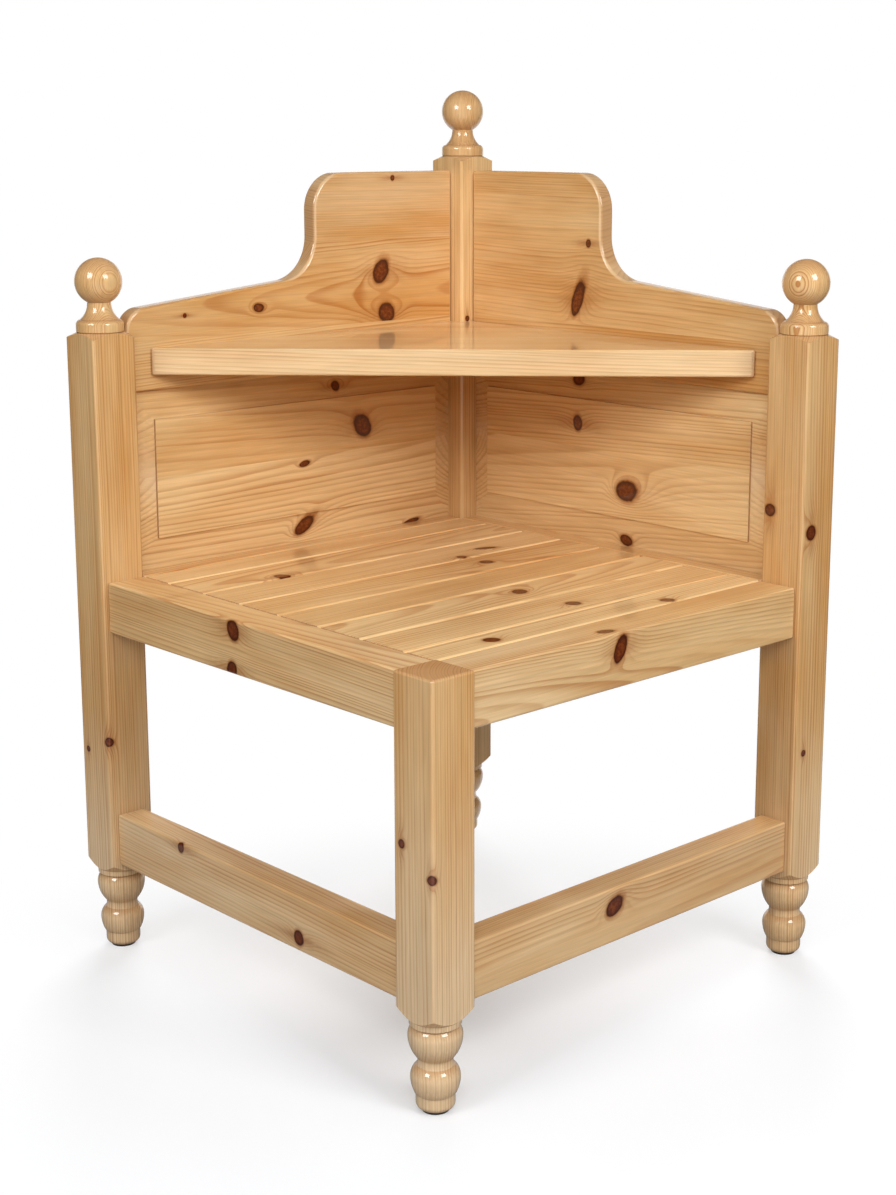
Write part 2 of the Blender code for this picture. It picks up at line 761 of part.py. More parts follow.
def build_bearers(boards, shelf, wood, steel):
    """Make the short bearers under the shelf, screwed to boards and shelf."""
    middle = BEARER_TOP - BEARER_HEIGHT / 2
    across = BOARD_FACE - GAP - BEARER_WIDTH / 2
    along = BEARER_BACK_CLEARANCE + BEARER_LENGTH / 2 - INNER
    face = BOARD_FACE - GAP - BEARER_WIDTH + SCREW_SINK
    under = BEARER_TOP - BEARER_HEIGHT + SCREW_SINK
    screw_height = BEARER_TOP - SCREW_EDGE - SCREW_HEAD_RADIUS
    steps = [along + share * BEARER_LENGTH for share in BEARER_SCREW_SHARES]
    for side in ("left", "right"):
        centre = (along, across, middle)
        up_place = (along, across, under)
        places = [(step, face, screw_height) for step in steps]
        turn = 0
        into_board = (QUARTER_TURN, 0, 0)
        if side == "left":
            centre = mirrored(centre)
            up_place = mirrored(up_place)
            places = [mirrored(place) for place in places]
            turn = QUARTER_TURN
            into_board = (0, QUARTER_TURN, 0)
        bearer = add_box((BEARER_LENGTH, BEARER_WIDTH, BEARER_HEIGHT), centre, turn)
        ease_edges(bearer, CLEAT_EASE, 1)
        finish(bearer, "bearer_" + side, wood)
        for number, place in enumerate(places, 1):
            name = "bearer_screw_" + side + "_" + str(number)
            drive_screw(name, place, into_board, (bearer, boards[side]), steel)
        drive_screw("shelf_screw_" + side, up_place, (math.pi, 0, 0), (bearer, shelf), steel)


clear_scene()
pieces = make_collection("corner_table")
cutters = make_collection("cutters")
frame_empty = bpy.data.objects.new("corner_table_origin", None)
pieces.objects.link(frame_empty)

pine = make_material("pine", (0.72, 0.42, 0.16), 0.28, 0.0)
pale_pine = make_material("pale_pine", (0.80, 0.58, 0.30), 0.28, 0.0)
dark_plastic = make_material("dark_plastic", (0.04, 0.035, 0.03), 0.5, 0.0)
zinc_steel = make_material("zinc_steel", (0.62, 0.60, 0.55), 0.35, 1.0)

all_posts = build_posts(pine)
build_finials(all_posts, pine)
build_glides(all_posts, dark_plastic)
all_rails = build_rails(all_posts, pine)
build_stretchers(all_posts, pine)
build_slats(pine)
build_cleats(all_rails, pale_pine, zinc_steel)
all_boards = {side: build_back(side, all_posts, all_rails, pine) for side in ("left", "right")}
corner_shelf = build_shelf(pale_pine)
build_bearers(all_boards, corner_shelf, pale_pine, zinc_steel)
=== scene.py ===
# %% [markdown]
# # A knotty pine corner table
#
# This lesson dresses a finished construction: square pine posts with turned feet and ball finials, rails, slats,
# fielded panels, scrolled boards and a three-cornered shelf. The construction fixes every size. Here each piece gets
# the shape of its edges, its own piece of timber, and a glossy lacquer.

# %% Load the fixed frame
import math
from collections import namedtuple

import bmesh
import bpy
from mathutils import Matrix, Vector


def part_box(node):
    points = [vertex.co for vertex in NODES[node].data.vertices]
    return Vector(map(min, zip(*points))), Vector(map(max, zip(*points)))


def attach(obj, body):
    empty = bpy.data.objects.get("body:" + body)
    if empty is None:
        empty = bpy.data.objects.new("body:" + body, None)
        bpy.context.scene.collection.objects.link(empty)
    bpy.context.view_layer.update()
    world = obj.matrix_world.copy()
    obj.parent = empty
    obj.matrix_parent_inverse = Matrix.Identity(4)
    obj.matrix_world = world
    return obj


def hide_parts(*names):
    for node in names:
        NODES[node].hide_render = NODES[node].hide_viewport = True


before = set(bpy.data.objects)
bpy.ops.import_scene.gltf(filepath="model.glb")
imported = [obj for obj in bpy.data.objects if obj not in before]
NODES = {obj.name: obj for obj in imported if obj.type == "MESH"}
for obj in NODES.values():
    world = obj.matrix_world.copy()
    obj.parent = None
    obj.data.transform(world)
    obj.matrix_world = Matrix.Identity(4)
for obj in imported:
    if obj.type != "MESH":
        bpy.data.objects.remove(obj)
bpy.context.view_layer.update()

print("nodes in the frame:", len(NODES))

# %% [markdown]
# ## Sizes that come from the frame
#
# A fitted piece must stay where the construction says, so its place is read from the node that it stands for. Only
# what a box can't say, such as how far an edge is rounded, is written here as a real size in metres.

# %% Read the places of the main pieces
GAP = 0.0003
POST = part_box("post_left")[1].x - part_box("post_left")[0].x
HALF_POST = POST / 2
HALF_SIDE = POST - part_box("post_left")[1].x
INNER = HALF_SIDE - POST
QUARTER_TURN = math.pi / 2
print("post", round(POST, 4), "half side", round(HALF_SIDE, 4), "inner face", round(INNER, 4))

# %% [markdown]
# ## Small helpers for meshes
#
# Every piece is drawn into a bmesh, put in place, and then settled: its modifiers are made real, its shading is set
# smooth with crisp lines kept, and a Weighted Normal modifier keeps the wide flat faces flat in the light. Without
# it, a rounded edge would pull the shading of the whole face round with it.

# %% Draw, ease and settle a mesh
EASED_ANGLE = 40


def draw_piece(name, draw):
    """Make an object whose mesh is drawn by a function into a bmesh."""
    mesh = bpy.data.meshes.new(name)
    shape = bmesh.new()
    draw(shape)
    bmesh.ops.recalc_face_normals(shape, faces=shape.faces)
    shape.to_mesh(mesh)
    shape.free()
    piece = bpy.data.objects.new(name, mesh)
    bpy.context.scene.collection.objects.link(piece)
    return piece


def ease_edges(piece, width, segments=4):
    """Round the sharp edges, as sanding does before lacquer."""
    bevel = piece.modifiers.new("eased edges", "BEVEL")
    bevel.width = width
    bevel.segments = segments
    bevel.limit_method = "ANGLE"
    bevel.angle_limit = math.radians(EASED_ANGLE)


def settle(piece, sharp_degrees=32):
    """Make the modifiers real and set the shading."""
    bpy.context.view_layer.update()
    evaluated = piece.evaluated_get(bpy.context.evaluated_depsgraph_get())
    mesh = bpy.data.meshes.new_from_object(evaluated)
    mesh.name = piece.name
    piece.modifiers.clear()
    piece.data = mesh
    mesh.shade_smooth()
    mesh.set_sharp_from_angle(angle=math.radians(sharp_degrees))
    weighted = piece.modifiers.new("flat faces stay flat", "WEIGHTED_NORMAL")
    weighted.keep_sharp = True


def box_of(size):
    """Return a function that draws a box of these full sizes round the origin."""
    def draw(shape):
        bmesh.ops.create_cube(shape, size=1)
        bmesh.ops.scale(shape, vec=size, verts=shape.verts)
    return draw


def lathe(profile, steps):
    """Return a function that turns (radius, height) points, top to bottom, into a closed solid."""
    def draw(shape):
        rings = []
        for radius, height in profile:
            if radius == 0:
                rings.append([shape.verts.new((0, 0, height))])
                continue
            turns = [2 * math.pi * k / steps for k in range(steps)]
            points = [(radius * math.cos(turn), radius * math.sin(turn), height) for turn in turns]
            rings.append([shape.verts.new(point) for point in points])
        for upper, lower in zip(rings, rings[1:]):
            for k in range(steps):
                after = (k + 1) % steps
                corners = [lower[k % len(lower)], lower[after % len(lower)]]
                corners += [upper[after % len(upper)], upper[k % len(upper)]]
                shape.faces.new(list(dict.fromkeys(corners)))
    return draw


def arc(centre, radius, start, end, segments):
    """Return points along an arc; the angles are in radians."""
    points = []
    for k in range(segments + 1):
        angle = start + (end - start) * k / segments
        points.append((centre[0] + radius * math.cos(angle), centre[1] + radius * math.sin(angle)))
    return points


def bow(upright, end, segments):
    """Return points of the arc that stands upright at its first point and ends at the second."""
    swing = end[0] - upright[0]
    rise = end[1] - upright[1]
    radius = (swing * swing + rise * rise) / (2 * abs(swing))
    sign = math.copysign(1, swing)
    points = []
    for k in range(segments + 1):
        height = rise * k / segments
        inward = radius - math.sqrt(radius * radius - height * height)
        points.append((upright[0] + sign * inward, upright[1] + height))
    return points


# %% [markdown]
# Nothing moves on this table, so every piece rides on the frame's root. Each one is shown in the place of one node.

# %% Hand a finished piece to the frame
def seat(piece, node):
    """Let a piece ride on the frame in the place of a node."""
    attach(piece, "root")
    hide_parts(node)
    print(piece.name, "stands for", node, "with", len(piece.data.polygons), "faces")


# %% [markdown]
# ## Timber as a solid texture
#
# Real pine is a stack of yearly rings round a pith. A saw cuts through that stack, and the face shows whatever it
# met: straight lines near a quarter cut, arches near a flat cut, arcs on the end grain. So the rings are worked out in
# three dimensions from the distance to a pith line, and every face of a piece shows its own cut of the same tree. A
# picture wrapped on the surface could not agree with itself round a corner.
#
# Node groups are written once and placed in every material with its own values. First come a few short helpers that
# make wiring readable.

# %% Wiring helpers for shader nodes
class Wiring:
    """Adds nodes to one tree; a value may be a number, a vector or another node's socket."""

    def __init__(self, tree):
        self.tree = tree

    def put(self, socket, value):
        """Link a socket or set its value."""
        if isinstance(value, bpy.types.NodeSocket):
            self.tree.links.new(value, socket)
        elif value is not None:
            socket.default_value = value

    def add(self, kind, *values, **settings):
        """Add a node, give values to its inputs in their order, and return its outputs."""
        node = self.tree.nodes.new("ShaderNode" + kind)
        for key, value in settings.items():
            setattr(node, key, value)
        for socket, value in zip(node.inputs, values):
            self.put(socket, value)
        return node.outputs

    def fill(self, node, **values):
        """Give a node's inputs values by name; underscores stand for spaces. Return its outputs."""
        for label, value in values.items():
            self.put(node.inputs[label.replace("_", " ")], value)
        return node.outputs

    def group(self, tree, **values):
        """Place a node group and give its inputs values by name."""
        node = self.tree.nodes.new("ShaderNodeGroup")
        node.node_tree = tree
        return self.fill(node, **values)

    def math(self, operation, first, second=None, clamp=False):
        """Combine one or two numbers."""
        return self.add("Math", first, second, operation=operation, use_clamp=clamp)[0]

    def plus(self, first, second, clamp=False):
        return self.math("ADD", first, second, clamp)

    def minus(self, first, second):
        return self.math("SUBTRACT", first, second)

    def times(self, first, second, clamp=False):
        return self.math("MULTIPLY", first, second, clamp)

    def vector(self, operation, first, second=None, scale=None):
        """Combine one or two vectors, or scale one."""
        outputs = self.add("VectorMath", first, second, None, scale, operation=operation)
        return outputs["Value" if operation in ("LENGTH", "DOT_PRODUCT", "DISTANCE") else "Vector"]

    def combine(self, x, y, z):
        """Make a vector of three numbers."""
        return self.add("CombineXYZ", x, y, z)[0]

    def separate(self, vector):
        """Return the three numbers of a vector."""
        return self.add("SeparateXYZ", vector)

    def turned(self, vector, angle):
        """Return a vector as seen in a frame that is turned by an angle about Z."""
        if not angle:
            return vector
        return self.add("VectorRotate", vector, None, None, -angle, rotation_type="Z_AXIS")["Vector"]

    def noise(self, vector, scale, detail=2.0, roughness=0.5):
        """Return a soft noise between 0 and 1."""
        return self.add("TexNoise", vector, None, scale, detail, roughness)["Fac"]

    def step(self, value, low, high, to_low=0.0, to_high=1.0):
        """Rise smoothly from to_low at low to to_high at high."""
        return self.add("MapRange", value, low, high, to_low, to_high, interpolation_type="SMOOTHSTEP")["Result"]

    def mix(self, factor, first, second):
        """Fade from the first colour to the second; a mix node's colours are its inputs 6 and 7."""
        return self.add("Mix", factor, *[None] * 5, first, second, data_type="RGBA")[2]

    def relief(self, height, depth, strength=1.0):
        """Return the normal of a fine relief."""
        bump = self.tree.nodes.new("ShaderNodeBump")
        return self.fill(bump, Strength=strength, Distance=depth, Height=height)["Normal"]


def new_material(name):
    """Start a material; return it with its shader and the wiring of its tree."""
    material = bpy.data.materials.new(name)
    material.use_nodes = True
    return material, material.node_tree.nodes["Principled BSDF"], Wiring(material.node_tree)


def new_group(name, inputs, outputs):
    """Start a shader node group; return its wiring, its inputs and its output node."""
    tree = bpy.data.node_groups.new(name, "ShaderNodeTree")
    for side, sockets in (("INPUT", inputs), ("OUTPUT", outputs)):
        for kind, labels in sockets.items():
            for label in labels:
                tree.interface.new_socket(label, in_out=side, socket_type="NodeSocket" + kind)
    given = tree.nodes.new("NodeGroupInput").outputs
    return Wiring(tree), given, tree.nodes.new("NodeGroupOutput")


# %% [markdown]
# ## The growth rings
#
# Place is the point in the timber, with X along the grain. The pith is a line beside or inside the board. It wanders,
# so the rings do too. Each ring starts pale in spring and darkens into a thin line in late summer, then stops short.
# A good year makes a wide ring and a dry year a thin one, so the spacing and the strength of the lines change.

# %% Build the growth ring group
# Waves per metre along, across and through the timber.
WANDER_WAVES = (2.4, 8.0, 8.0)
RIPPLE_WAVES = (7.0, 36.0, 36.0)
TONE_WAVES = (4.0, 22.0, 22.0)
STRAND_WAVES = (5.0, 330.0, 330.0)
HAIR_WAVES = (30.0, 1100.0, 1100.0)
# How the years differ, and how one year's wood darkens, as shares of the year.
YEAR_WAVES = 0.23
YEAR_SPREAD = 3.0
SUMMER = (0.15, 0.86)
WINTER = (0.9, 1.0)
YEARLY_STRENGTH = (0.25, 0.7, 0.3, 1.0)
PATCHINESS = (0.3, 0.6, 0.65, 1.15)
RIPPLE = 0.0016
STRAND_SHARE = 0.6
HAIR_SHARE = 0.4


def build_rings_group():
    """Build the group that finds the growth rings at a place in the timber."""
    w, given, end = new_group(
        "growth_rings",
        {"Vector": ("Place", "Pith"), "Float": ("Taper", "Lean", "Ring Width", "Wander", "Bend", "Seed")},
        {"Float": ("Late Wood", "Tone", "Fibre")},
    )
    seed = given["Seed"]
    shift = w.combine(seed, w.times(seed, 0.37), w.times(seed, 0.71))
    place = given["Place"]

    def field(stretch, detail, roughness=0.5):
        """Noise stretched along the grain; the stretch counts waves per metre."""
        scaled = w.vector("ADD", w.vector("MULTIPLY", place, stretch), shift)
        return w.noise(scaled, 1.0, detail, roughness)

    def swing(value, size):
        """Turn a 0 to 1 value into a push either way."""
        return w.times(w.minus(value, 0.5), size)

    along = w.separate(place)[0]
    offset = w.separate(w.vector("SUBTRACT", place, given["Pith"]))
    across = w.plus(offset[1], w.times(along, given["Lean"]))
    across = w.plus(across, swing(field(WANDER_WAVES, 1.0), given["Wander"]))
    deep = w.plus(offset[2], w.times(along, given["Taper"]))
    radius = w.math("SQRT", w.plus(w.times(across, across), w.times(deep, deep)))
    radius = w.plus(radius, swing(field(RIPPLE_WAVES, 2.0), RIPPLE))
    count = w.math("DIVIDE", radius, given["Ring Width"])
    years = w.noise(w.combine(count, seed, 0.0), YEAR_WAVES, 1.0)
    count = w.plus(w.plus(count, w.times(years, YEAR_SPREAD)), given["Bend"])
    age = w.math("FRACT", count)
    strength = w.noise(w.combine(w.math("FLOOR", count), seed, 3.3), 0.9, 0.0)
    tone = field(TONE_WAVES, 3.0, 0.55)
    sharp = w.math("POWER", w.step(age, *SUMMER), 2.0)
    fall = w.step(age, *WINTER, 1.0, 0.0)
    yearly = w.step(strength, *YEARLY_STRENGTH)
    late = w.times(w.times(sharp, fall), yearly)
    patchy = w.step(tone, *PATCHINESS)
    strands = w.times(field(STRAND_WAVES, 2.0, 0.6), STRAND_SHARE)
    hairs = w.times(field(HAIR_WAVES, 1.0), HAIR_SHARE)
    w.fill(end, Late_Wood=w.times(late, patchy), Tone=tone, Fibre=w.plus(strands, hairs))
    return w.tree


RINGS = build_rings_group()
print("growth ring group nodes:", len(RINGS.nodes))

# %% [markdown]
# ## Knots
#
# A knot is a branch that the trunk grew round. It is a cone that starts at the pith and runs out through the board,
# so it shows on both faces, round where it is cut across and long where it is cut at a slant. The rings swell out
# round it, the wood beside it is stained with resin, and its rim is dark where the branch had died.

# %% Build the knot group
MARKS = ("Bend", "Core", "Rim", "Stain")
KNOT_REACH = 0.08
# Edges of the heart, the rim and the stained wood, as shares of the knot's radius.
HEART_EDGE = (0.88, 1.1)
RIM_EDGE = (0.45, 0.92)
STAIN_EDGE = (0.9, 1.6)
# How far the rings swell and the resin runs, along the grain and across it.
SWELL_SHAPE = (0.4, 0.8, 0.8)
SMEAR_SHAPE = (0.16, 1.0, 1.0)
SMEAR_FADE = -0.9
ROUGH_WAVES = 110.0
ROUGHNESS_OF_EDGE = 0.28
NARROWEST = 0.04


def build_knot_group():
    """Build the group that adds one knot to those found so far."""
    w, given, end = new_group(
        "branch_knot",
        {"Vector": ("Place", "Centre", "Branch"), "Float": ("Radius", "Push", *MARKS)},
        {"Float": MARKS},
    )
    apart = w.vector("SUBTRACT", given["Place"], given["Centre"])
    outward = w.vector("DOT_PRODUCT", apart, given["Branch"])
    aside = w.vector("SUBTRACT", apart, w.vector("SCALE", given["Branch"], scale=outward))
    cone = w.plus(w.math("DIVIDE", outward, KNOT_REACH), 1.0)
    radius = w.times(given["Radius"], w.math("MAXIMUM", cone, NARROWEST))
    rough = w.noise(w.vector("SCALE", given["Place"], scale=ROUGH_WAVES), 1.0, 3.0, 0.6)
    share = w.math("DIVIDE", w.vector("LENGTH", aside), radius)
    share = w.plus(share, w.times(w.minus(rough, 0.5), ROUGHNESS_OF_EDGE))
    core = w.step(share, *HEART_EDGE, 1.0, 0.0)
    rim = w.times(w.step(share, *RIM_EDGE), core)
    stretch = w.vector("MULTIPLY", aside, SWELL_SHAPE)
    far = w.math("DIVIDE", w.vector("LENGTH", stretch), radius)
    swell = w.math("EXPONENT", w.times(w.times(far, far), -1.0))
    streak = w.vector("MULTIPLY", aside, SMEAR_SHAPE)
    smear = w.plus(w.math("DIVIDE", w.vector("LENGTH", streak), radius), w.times(rough, 0.5))
    tail = w.math("EXPONENT", w.times(w.times(smear, smear), SMEAR_FADE))
    halo = w.step(share, *STAIN_EDGE, 1.0, 0.0)
    stain = w.math("MAXIMUM", tail, halo)
    w.fill(
        end,
        Bend=w.minus(given["Bend"], w.times(swell, given["Push"])),
        Core=w.math("MAXIMUM", given["Core"], core),
        Rim=w.math("MAXIMUM", given["Rim"], rim),
        Stain=w.math("MAXIMUM", given["Stain"], stain),
    )
    return w.tree


KNOT = build_knot_group()
print("knot group nodes:", len(KNOT.nodes))

# %% [markdown]
# ## The colours of the timber
#
# Lacquered pine is a warm yellow that deepens to orange in the late wood. The colours here are the wood's own, as
# linear values. Depth moves a piece towards the deeper heartwood, Sap takes the yellow out of its pale parts, as in
# the young wood under the bark, and the tone of the rings group makes both change in soft blotches. That is what makes
# a row of slats look like eight boards and not one.

# %% Build the timber colour group
PALE_WOOD = (0.85, 0.595, 0.3, 1.0)
DEEP_WOOD = (0.63, 0.325, 0.102, 1.0)
LATE_WOOD = (0.46, 0.155, 0.028, 1.0)
SAPWOOD = (0.8, 0.585, 0.36, 1.0)
END_GRAIN = (0.56, 0.31, 0.135, 1.0)
END_LINES = (0.4, 0.195, 0.075, 1.0)
RESIN_STAIN = (0.36, 0.11, 0.016, 1.0)
KNOT_HEART = (0.215, 0.043, 0.005, 1.0)
KNOT_MIDDLE = (0.12, 0.02, 0.002, 1.0)
KNOT_RIM = (0.05, 0.007, 0.001, 1.0)
# How strongly each mark changes the colour below it.
BLOTCHES = 1.6
STAIN_STRENGTH = 0.8
FIBRE_SWING = 0.6
SHORT_STRENGTH = 0.55
END_STRENGTH = 0.85
RIM_STRENGTH = 0.92
HEART_WAVES = 260.0
SMOOTHEST = 0.34
FIBRE_ROUGHNESS = 0.14


def build_colour_group():
    """Build the group that colours the timber from its rings, knots and cut faces."""
    w, given, end = new_group(
        "pine_colour",
        {
            "Vector": ("Place",),
            "Float": ("Late Wood", "Tone", "Fibre", *MARKS[1:], "Short", "End", "Depth", "Contrast", "Sap"),
        },
        {"Color": ("Color",), "Float": ("Roughness",)},
    )
    blotch = w.times(w.minus(given["Tone"], 0.5), BLOTCHES)
    deep = w.plus(given["Depth"], blotch, clamp=True)
    colour = w.mix(deep, w.mix(given["Sap"], PALE_WOOD, SAPWOOD), DEEP_WOOD)
    colour = w.mix(w.times(given["Late Wood"], given["Contrast"], clamp=True), colour, LATE_WOOD)
    colour = w.mix(w.times(given["Stain"], STAIN_STRENGTH), colour, RESIN_STAIN)
    light = w.plus(1.0, w.times(w.minus(given["Fibre"], 0.5), FIBRE_SWING))
    colour = w.vector("SCALE", colour, scale=light)
    colour = w.mix(w.times(given["Short"], SHORT_STRENGTH), colour, SAPWOOD)
    cut = w.mix(given["Late Wood"], END_GRAIN, END_LINES)
    colour = w.mix(w.times(given["End"], END_STRENGTH), colour, cut)
    mottle = w.noise(w.vector("SCALE", given["Place"], scale=HEART_WAVES), 1.0, 3.0, 0.6)
    heart = w.mix(w.step(mottle, 0.4, 0.65), KNOT_MIDDLE, KNOT_HEART)
    heart = w.mix(w.times(given["Rim"], RIM_STRENGTH), heart, KNOT_RIM)
    roughness = w.plus(SMOOTHEST, w.times(given["Fibre"], FIBRE_ROUGHNESS))
    w.fill(end, Color=w.mix(given["Core"], colour, heart), Roughness=roughness)
    return w.tree


COLOUR = build_colour_group()
print("timber colour group nodes:", len(COLOUR.nodes))

# %% [markdown]
# ## One piece of timber
#
# A board's material joins the three groups: its knots in a chain, the rings bent by them, then the colours. Faces
# that look along the grain show end grain, and slanting ones show short grain. On the boards the faces across the
# thickness take some of the end-grain colour as well: partly the grain of their sawn edges, partly painted shade.
# A fade makes the timber paler towards one end; on the posts it is painted light, the white light that the floor
# throws up on their lower ends. The lacquer is a clear coat on the same shader, with its fixed values set on the
# shader itself.

# %% Make a timber material
GRAIN_ORDER = {"X": (0, 1, 2), "Z": (2, 0, 1)}
SHORT_GRAIN_STARTS = (0.1, 0.26)
END_GRAIN_STARTS = (0.55, 0.88)
PORE_WAVES = (16.0, 500.0, 500.0)
PORE_DEPTH = 0.0002
PORE_STRENGTH = 0.15


def reorder(place, grain):
    """Return a point with the grain's axis first."""
    return tuple(place[k] for k in GRAIN_ORDER[grain])


# A branch that shows at a place of the frame, with its radius there, the way it grew and its push on the rings.
Knot = namedtuple("Knot", "at radius branch push")


def timber(piece, pith, depth, contrast, seed, part="pine", grain="X", ring=0.003, taper=0.02, lean=0.0,
           wander=0.01, sap=0.0, fade=None, knots=(), short=SHORT_GRAIN_STARTS, end=END_GRAIN_STARTS, edge_grain_and_shade=0.0,
           coat=1.0, polish=0.06, turn=0.0):
    """Make the material of one piece of pine; pith is across and through the board from its middle."""
    material, shader, w = new_material(f"{piece.name}_{part}")
    order = GRAIN_ORDER[grain]
    coordinates = w.add("TexCoord")
    local = w.separate(w.turned(coordinates["Object"], turn))
    place = w.combine(*(local[axis] for axis in order))
    normal = w.separate(w.turned(coordinates["Normal"], turn))
    facing = w.math("ABSOLUTE", normal[order[0]])
    # Faces across the thickness take the end-grain colour: partly the grain of sawn edges, partly painted shade along
    # them.
    edge = w.times(w.minus(1.0, w.math("ABSOLUTE", normal[order[2]])), edge_grain_and_shade)
    # A fade lowers the depth and raises the sap towards one end. On the posts this is painted light: their lower ends
    # are painted paler and less yellow, for the white floor's bounce light.
    if fade:
        *span, amount = fade
        depth = w.step(local[order[0]], *span, depth - amount, depth)
        sap = w.step(local[order[0]], *span, sap + amount, sap)
    found = dict.fromkeys(MARKS, 0.0)
    inverse = Matrix.Rotation(-turn, 4, "Z") @ piece.matrix_world.inverted()
    for knot in knots:
        branch = inverse.to_3x3() @ Vector(knot.branch).normalized()
        found = w.group(
            KNOT, Place=place, Centre=reorder(inverse @ Vector(knot.at), grain), Branch=reorder(branch, grain),
            Radius=knot.radius, Push=knot.push, **{mark: found[mark] for mark in MARKS},
        )
    rings = w.group(
        RINGS, Place=place, Pith=(0.0, *pith), Taper=taper, Lean=lean, Ring_Width=ring, Wander=wander,
        Bend=found["Bend"], Seed=seed,
    )
    look = w.group(
        COLOUR, Place=place, Late_Wood=rings["Late Wood"], Tone=rings["Tone"], Fibre=rings["Fibre"],
        **{mark: found[mark] for mark in MARKS[1:]}, Short=w.step(facing, *short),
        End=w.math("MAXIMUM", w.step(facing, *end), edge), Depth=depth, Contrast=contrast, Sap=sap,
    )
    pores = w.noise(w.vector("MULTIPLY", place, PORE_WAVES), 1.0, 1.0)
    w.fill(
        shader, Base_Color=look["Color"], Roughness=look["Roughness"], Metallic=0.0, IOR=1.5, Coat_IOR=1.5,
        Specular_IOR_Level=0.1, Coat_Weight=coat, Coat_Roughness=polish,
        Normal=w.relief(pores, PORE_DEPTH, PORE_STRENGTH),
    )
    piece.data.materials.append(material)


# %% [markdown]
# ## The posts
#
# Each post is a square stick that was mounted on the lathe: the foot is turned from the same wood, and the square's
# corners run out on a cone where the tool first cut in. A prism with rounded edges, cut by a turned envelope, gives
# exactly the scalloped shoulders that the real post has.

# %% Profile of the turned foot
GLIDE_THICKNESS = 0.002
FOOT_SLOPE_SHARE = 0.9
TOP_SLOPE_SHARE = 0.5
TURNING_STEPS = 96
# Each turning's radius, as a share of half the post's width, and its height.
FOOT_SHARES = {
    "shoulder": (0.94, 0.0965),
    "ring": (0.945, 0.0953),
    "groove": (0.935, 0.0912),
    "ledge": (0.81, 0.09),
    "upper crown": (0.82, 0.0895),
    "upper bulb": (0.985, 0.079),
    "upper hem": (0.665, 0.056),
    "fillet": (0.642, 0.0544),
    "neck": (0.64, 0.0515),
    "lower crown": (0.67, 0.048),
    "lower bulb": (0.9, 0.0355),
    "lower hem": (0.76, 0.0194),
    "heel": (0.71, 0.019),
    "heel edge": (0.71, 0.009),
    "sole": (0.53, GLIDE_THICKNESS + GAP),
}
FOOT = {name: (HALF_POST * share, height) for name, (share, height) in FOOT_SHARES.items()}
SHOULDER, SHOULDER_HEIGHT = FOOT["shoulder"]


def foot_profile():
    """Return the turned foot from the square's lower shoulder to the sole."""
    profile = [(POST, SHOULDER_HEIGHT + (POST - SHOULDER) * FOOT_SLOPE_SHARE)]
    profile += [FOOT[name] for name in ("shoulder", "ring", "groove", "ledge")]
    profile += reversed(bow(FOOT["upper bulb"], FOOT["upper crown"], 8))
    profile += bow(FOOT["upper bulb"], FOOT["upper hem"], 12)[1:]
    profile += [FOOT["fillet"], FOOT["neck"]]
    profile += reversed(bow(FOOT["lower bulb"], FOOT["lower crown"], 9))
    profile += bow(FOOT["lower bulb"], FOOT["lower hem"], 9)[1:]
    profile.append(FOOT["heel"])
    profile += bow(FOOT["heel edge"], FOOT["sole"], 7)
    profile.append((0, GLIDE_THICKNESS + GAP))
    return profile


print("points in the foot's profile:", len(foot_profile()))

# %% Cut a post from its stick
POST_EASE = 0.0035
FRONT_EASE = 0.0028
TOP_RIM = 0.0008
OVERRUN = 0.006
TURNED = dict(grain="Z", short=(1.5, 2.0), end=(0.15, 1.0))


def build_post(node, **look):
    """Make a post: a rounded square prism trimmed by its turned envelope."""
    low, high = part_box(node)
    centre = (low + high) / 2
    front = node == "post_front"
    bottom = low.z - OVERRUN
    top = high.z if front else high.z + OVERRUN
    height = top - bottom
    post = draw_piece(node.replace("post", "turned_post"), box_of((POST, POST, height)))
    post.location = (centre.x, centre.y, bottom + height / 2)
    ease_edges(post, FRONT_EASE if front else POST_EASE, segments=5)
    if front:
        head = [(0, top + OVERRUN), (POST, top + OVERRUN)]
    else:
        head = [
            (0, high.z),
            (SHOULDER - TOP_RIM, high.z),
            (SHOULDER + TOP_RIM, high.z - TOP_RIM),
            (POST, high.z - TOP_RIM - (POST - SHOULDER) * TOP_SLOPE_SHARE),
        ]
    envelope = draw_piece("envelope", lathe(head + foot_profile(), TURNING_STEPS))
    envelope.location = (centre.x, centre.y, 0)
    trim = post.modifiers.new("turned", "BOOLEAN")
    trim.operation = "INTERSECT"
    trim.object = envelope
    settle(post, sharp_degrees=30)
    bpy.data.objects.remove(envelope, do_unlink=True)
    timber(post, **TURNED, **look)
    seat(post, node)


FRONT_FACE = -HALF_SIDE
# The fades on the front, left and right posts are painted light: each lower end is painted paler and less yellow, for
# the white light thrown up by the floor.
build_post(
    "post_front", pith=(0.062, 0.06), ring=0.0029, taper=0.004, lean=0.004, wander=0.006, depth=0.58,
    contrast=0.48, sap=0.25, fade=(-0.12, 0.16, 0.62), seed=11.0,
    knots=[
        Knot((0.2562, FRONT_FACE, 0.275), 0.0045, (0.1, -1, 0.25), 2.0),
        Knot((0.2985, FRONT_FACE, 0.25), 0.005, (0.7, -0.8, 0.3), 2.0),
    ],
)
build_post(
    "post_left", pith=(0.06, 0.05), ring=0.0028, taper=0.004, lean=-0.003, wander=0.006, depth=0.62,
    contrast=0.58, sap=0.1, fade=(-0.33, 0.0, 0.66), seed=23.0,
    knots=[
        Knot((-0.2875, FRONT_FACE, 0.2397), 0.0035, (0.0, -1, 0.3), 1.5),
        Knot((-0.246, -0.299, 0.2566), 0.0055, (0.8, -0.8, 0.3), 2.0),
    ],
)
